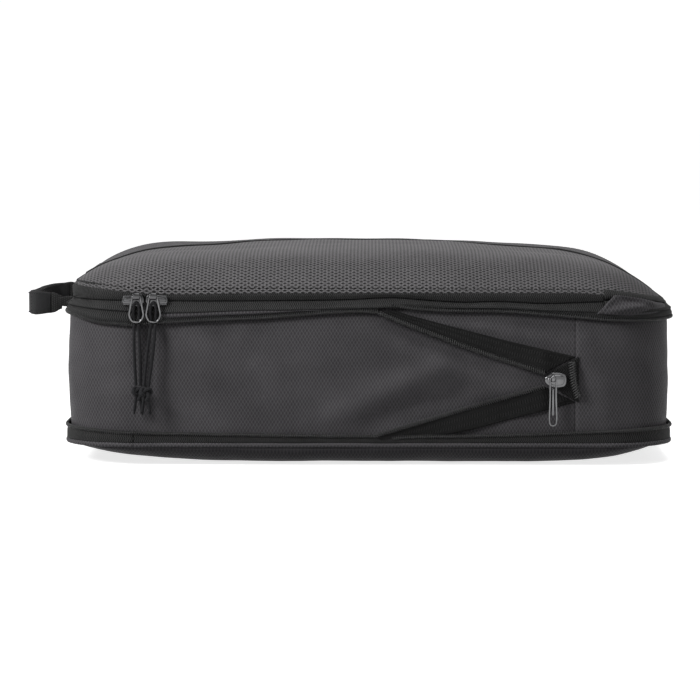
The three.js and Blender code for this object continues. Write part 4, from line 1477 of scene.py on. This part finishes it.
class Columns:
    """The mesh's columns: how far back the cloth has come after a length measured from the front edge."""

    def __init__(self):
        self.x = np.linspace(-LID_HALF_X + 0.05, LID_HALF_X - 0.05, 180)
        share = np.linspace(0, 1, 150)
        front_edge, back_edge = -edge_y(self.x) - 0.5, seam_y(self.x) + 3.0
        y = front_edge[:, None] + share[None] ** 1.6 * (back_edge - front_edge)[:, None]
        z = lid_height(self.x[:, None] + 0 * y, y)
        step = np.hypot(np.diff(y, axis=1), np.diff(z, axis=1))
        run = np.concatenate([np.zeros((len(self.x), 1)), np.cumsum(step, axis=1)], axis=1)
        self.steps = np.arange(0, run.max() + 2, 0.8)
        self.y = np.stack([np.interp(self.steps, r, yy, right=yy[-1] + 9) for r, yy in zip(run, y)])

    def at(self, x, v):
        i = np.clip((x - self.x[0]) / (self.x[1] - self.x[0]), 0, len(self.x) - 1.001)
        j = np.clip(v / 0.8, 0, len(self.steps) - 1.001)
        i0, j0 = i.astype(int), j.astype(int)
        a, b = i - i0, j - j0
        low = lerp(self.y[i0, j0], self.y[i0, j0 + 1], b)
        return lerp(low, lerp(self.y[i0 + 1, j0], self.y[i0 + 1, j0 + 1], b), a)


def lid_net():
    """A knitted mesh: six-sided holes, staggered, between round threads."""
    columns = Columns()
    row = np.arange(int(columns.steps[-1] / NET_ROW) + 1)
    wide = int(LID_HALF_X / NET_PITCH) + 1
    cell = np.arange(-wide, wide + 1)
    u = cell[None, :] * NET_PITCH + np.where(row % 2, NET_PITCH / 2, 0)[:, None]
    v = row[:, None] * NET_ROW + 0.4 + 0 * u
    keep = np.abs(u) < LID_HALF_X - NET_PITCH / 2
    y = columns.at(u, v)
    keep &= (y < seam_y(u) - 0.4) & (lid_share(u, y) < 1.004)
    u, v = u[keep], v[keep]
    corners = np.array([(0, 2), (-1.5, 1), (-1.5, -1), (0, -2), (1.5, -1), (1.5, 1)]) / 3
    corners = corners * [NET_PITCH, NET_ROW]
    outer = np.stack([u, v], axis=-1)[:, None] + corners
    size = np.where(v < 1.5 * NET_ROW, NET_EDGE_HOLE, NET_HOLE)[:, None, None]
    hole = np.stack([u, v], axis=-1)[:, None] + corners * size
    count = len(u)
    place_of = np.round(outer.reshape(-1, 2) * 200).astype(np.int64)
    _, first, same = np.unique(place_of, axis=0, return_index=True, return_inverse=True)
    ridge = outer.reshape(-1, 2)[first]
    same = same.reshape(count, 6)
    flat = np.concatenate([ridge, ridge, hole.reshape(-1, 2)])
    x = np.clip(flat[:, 0], -LID_HALF_X + 0.1, LID_HALF_X - 0.1)
    lift = np.concatenate([np.full(len(ridge), 0.34), np.full(len(ridge), -0.22), np.zeros(count * 6)])
    points = lid_point(x, columns.at(x, flat[:, 1]), lift)
    k = np.arange(6)
    after = (k + 1) % 6
    rim = 2 * len(ridge) + np.arange(count)[:, None] * 6
    top = np.stack([same[:, k], same[:, after], rim + after, rim + k], axis=-1)
    low = same + len(ridge)
    under = np.stack([low[:, k], rim + k, rim + after, low[:, after]], axis=-1)
    faces = np.concatenate([top.reshape(-1, 4), under.reshape(-1, 4)])
    add_mesh("lid_mesh_panel", points, faces, MESH_THREAD, "lid", uv=flat)


def lid_lining():
    """The fine lining under the mesh, from just behind its front edge to the seam. Its grey is raised
    close to the threads' as painted light, so that the shaded holes look lit.
    """
    x = np.linspace(-LID_HALF_X + 4.5, LID_HALF_X - 4.5, 150)
    share = np.linspace(0, 1, 80)[:, None] ** 1.5
    y = lerp(-edge_y(x) + 2.2, seam_y(x), share)
    x = x + 0 * y
    points = lid_point(x, y, -0.65)
    cloth_piece("lid_mesh_lining", points, 0.3, x, y, MESH_LINING_PAINTED_LIGHT, "lid", own_node=False)


def lid_back():
    x = LID_HALF_X * np.sin(np.linspace(-1, 1, 170) * math.pi / 2 * 0.97) / math.sin(math.pi / 2 * 0.97)
    x = lerp(x, np.linspace(-LID_HALF_X, LID_HALF_X, 170), 0.45)
    share = 0.5 - 0.5 * np.cos(np.linspace(0.02, 1, 90) * math.pi)
    share = lerp(share, np.linspace(0, 1, 90), 0.35)[:, None]
    y = lerp(seam_y(x), edge_y(x), share)
    x = x + 0 * y
    cloth_piece("lid_solid_panel", lid_point(x, y), 0.45, x, y, RIPSTOP, "lid")


def lid_seam():
    """The piping between the two panels, the folds beside it and its stitches."""
    x = np.linspace(-174.5, 174.5, 360)
    line = lid_point(x, seam_y(x), 0.5)
    parts = Parts()
    parts.add(*tube(line, 0.85, 10))
    for side in (-1, 1):
        edge = lid_point(x, seam_y(x) + side * 1.6, 0.28)
        parts.add(*band(edge, np.array([0, 1.0, 0]), 2.0, 0.5))
    parts.make("lid_seam_piping", BINDING, "lid")
    parts = Parts()
    beside = seam_y(x) + 3.4
    path = lid_point(x, beside, 0.1)
    up = lid_point(x, beside, 1.1) - path
    stitch_row(parts, path, up, 2.8, thread=0.22)
    parts.make("lid_seam_stitches", THREAD_BLACK, "lid", own_node=False)


def lid_edge_stitches():
    """One row of stitches all round the lid, just inside its edge."""
    parts = Parts()
    s = around(2.0)
    x, y, nx, ny = outline(s)
    at = lid_point(x - nx * EDGE_STITCHES_IN, y - ny * EDGE_STITCHES_IN, 0.42)
    up = unit(np.stack([nx, ny, 0.9 + 0 * nx], axis=-1))
    stitch_row(parts, at, up, 2.6, thread=0.24)
    parts.make("lid_edge_stitches", THREAD_BLACK, "lid", own_node=False)


lid_net()
lid_lining()
lid_back()
lid_seam()
lid_edge_stitches()


# ---- Grab handle ---------------------------------------------------------------------------------
HANDLE_HALF = 60.0
HANDLE_OUT = LENGTH / 2 + 9.3
HANDLE_REACH = LENGTH / 2 + 29.6
HANDLE_Z = 93.6
STRAP_WIDE, STRAP_THICK = 12.5, 1.8
SLEEVE_WIDE, SLEEVE_THICK = 14.6, 4.0


def handle_path(count):
    """The strap's line: it droops in its middle."""
    half = [(-HANDLE_OUT, -HANDLE_HALF), (-HANDLE_OUT - 6, -HANDLE_HALF + 0.5)]
    half += [(-HANDLE_REACH + 5, -HANDLE_HALF + 5), (-HANDLE_REACH, -HANDLE_HALF + 22)]
    route = half + [(-HANDLE_REACH, 0)] + [(x, -y) for x, y in reversed(half)]
    heights = (-0.6, -1.0, -1.3, -2.0, -3.3, -4.0, -3.3, -1.5, -0.4)
    return spline([(x, y, HANDLE_Z + h) for (x, y), h in zip(route, heights)], count)


def handle():
    path = handle_path(200)
    share = np.linspace(0, 1, len(path))
    end = np.minimum(share, 1 - share)
    parts = Parts()
    wide = STRAP_WIDE * (1 - 0.34 * bump(end, 0, 0.022))
    parts.add(*band(path, (0, 0, 1), wide, STRAP_THICK))
    parts.make("handle_strap", WEBBING, "handle")
    sleeve = handle_path(260)[12:-12]
    share = np.linspace(0, 1, len(sleeve))
    end = np.minimum(share, 1 - share)
    thick = SLEEVE_THICK * (1 - 0.22 * bump(end, 0, 0.01)) + 0.12 * ripples(sleeve[:, 1], 0, 0, 16, 91)
    wide = SLEEVE_WIDE - 2.2 * bump(end, 0, 0.05) + 0.2 * ripples(sleeve[:, 1], 0, 0, 22, 92)
    parts = Parts()
    parts.add(*band(sleeve, (0, 0, 1), wide, thick))
    parts.make("handle_label", SLEEVE, "handle")
    parts = Parts()
    along = np.gradient(sleeve, axis=0)
    out = unit(np.cross(along, (0, 0, 1.0)))
    for face in (-1, 1):
        for z in (-5.9, 5.9):
            line = sleeve + out * face * (SLEEVE_THICK / 2 + 0.02) + [0, 0, z]
            stitch_row(parts, line[2:-2], out[2:-2] * face, 2.4, thread=0.22)
        for at in (3, 26, -27, -4):
            rise = np.linspace(-5.6, 5.6, 24)
            line = sleeve[at] + out[at] * face * (SLEEVE_THICK / 2 - 0.1)
            line = line + np.stack([0 * rise, 0 * rise, rise], axis=-1)
            stitch_row(parts, line, np.tile(out[at] * face, (24, 1)), 2.0, thread=0.22)
    parts.make("handle_stitches", THREAD_BLACK, "handle", own_node=False)


def handle_anchor(which, side):
    """The webbing's end, folded over on itself and sewn into the corner."""
    y = side * (HANDLE_HALF + STRAP_THICK / 2 + 0.3 + 1.8)
    x = -LENGTH / 2 + np.array([0.6, -2.4, -6.0, -9.0, -10.5])
    route = spline([(a, y, HANDLE_Z) for a in x], 30)
    share = np.linspace(0, 1, len(route))
    parts = Parts()
    for shift, thick in ((-0.95, 1.5), (0.85, 1.6)):
        wide = 5.4 + 0.9 * np.sin(share * math.pi) ** 2
        leaf = route + [0, shift, 0]
        parts.add(*band(leaf, (0, 0, 1), wide, thick))
    name = f"handle_anchor_{which}"
    parts.make(name, WEBBING, "rim")
    parts = Parts()
    for dx in (-3.6, -8.6):
        z = np.linspace(-2.2, 2.2, 10)
        line = np.stack([-LENGTH / 2 + dx + 0 * z, y + side * 1.72 + 0 * z, HANDLE_Z + z], axis=-1)
        stitch_row(parts, line, np.tile([0.0, side, 0], (10, 1)), 1.4, thread=0.2)
    parts.make(f"{name}_stitches", THREAD_BLACK, "rim", own_node=False)


handle()
handle_anchor("front", -1)
handle_anchor("back", 1)


# ---- Floor, backdrop and light -------------------------------------------------------------------
def stage_mesh(name, points, faces, material):
    """A thing on the stage, from points in metres."""
    mesh = bpy.data.meshes.new(name)
    mesh.from_pydata([tuple(p) for p in points], [], faces)
    mesh.materials.append(material)
    thing = bpy.data.objects.new(name, mesh)
    bpy.context.collection.objects.link(thing)
    return thing


def studio():
    """A pale floor that curves up all round into a low wall.

    It doesn't light the cloth: a grey card that the camera can't see does so in its place.
    """
    floor_reach, wall_reach, wall_height = 3.4, 4.2, 2.6
    turn = np.linspace(0, math.pi / 2, 12)
    profile = [(k * floor_reach, 0.0) for k in (0.05, 0.2, 0.5, 0.8, 1.0)]
    bend = wall_reach - floor_reach
    profile += [(floor_reach + bend * math.sin(a), bend * (1 - math.cos(a))) for a in turn[1:]]
    profile += [(wall_reach, wall_height)]
    a = np.linspace(0, 2 * math.pi, 96, endpoint=False)
    rings = np.stack([np.stack([r * np.cos(a), r * np.sin(a), z + 0 * a], axis=-1) for r, z in profile])
    points = np.concatenate([rings.reshape(-1, 3), [[0, 0, 0]]])
    faces = [tuple(f) for f in grid_faces(len(profile), len(a), close_columns=True)]
    faces += [(len(points) - 1, k, (k + 1) % len(a)) for k in range(len(a))]
    backdrop = stage_mesh("backdrop", points, faces, PAPER)
    backdrop.data.polygons.foreach_set("use_smooth", np.ones(len(faces), bool))
    backdrop.visible_diffuse = False
    corners = [(x, y, -0.002) for x, y in ((-2, -2), (2, -2), (2, 2), (-2, 2))]
    card = stage_mesh("shade_card", corners, [(0, 1, 2, 3)], CARD)
    card.visible_camera = False
    card.visible_glossy = False


def area_light(name, location, aim, size, energy):
    data = bpy.data.lights.new(name, "AREA")
    data.shape = "DISK"
    data.size = size
    data.energy = energy
    lamp = bpy.data.objects.new(name, data)
    lamp.location = location
    lamp.rotation_euler = (Vector(aim) - Vector(location)).to_track_quat("-Z", "Y").to_euler()
    bpy.context.collection.objects.link(lamp)


def world(strength):
    scene_world = bpy.data.worlds.new("studio")
    scene_world.use_nodes = True
    background = scene_world.node_tree.nodes["Background"]
    background.inputs["Color"].default_value = (1, 1, 1, 1)
    background.inputs["Strength"].default_value = strength
    bpy.context.scene.world = scene_world


studio()
world(0.27)
area_light("key", (-0.8, -0.72, 0.62), (-0.05, -0.1, 0.07), 0.36, 9.5)
area_light("top", (0.1, -0.3, 1.6), (0, 0, 0.1), 1.1, 14)
area_light("fill", (1.6, -1.6, 0.9), (0, 0, 0.06), 1.2, 1.5)
bpy.context.scene.view_settings.view_transform = "Standard"
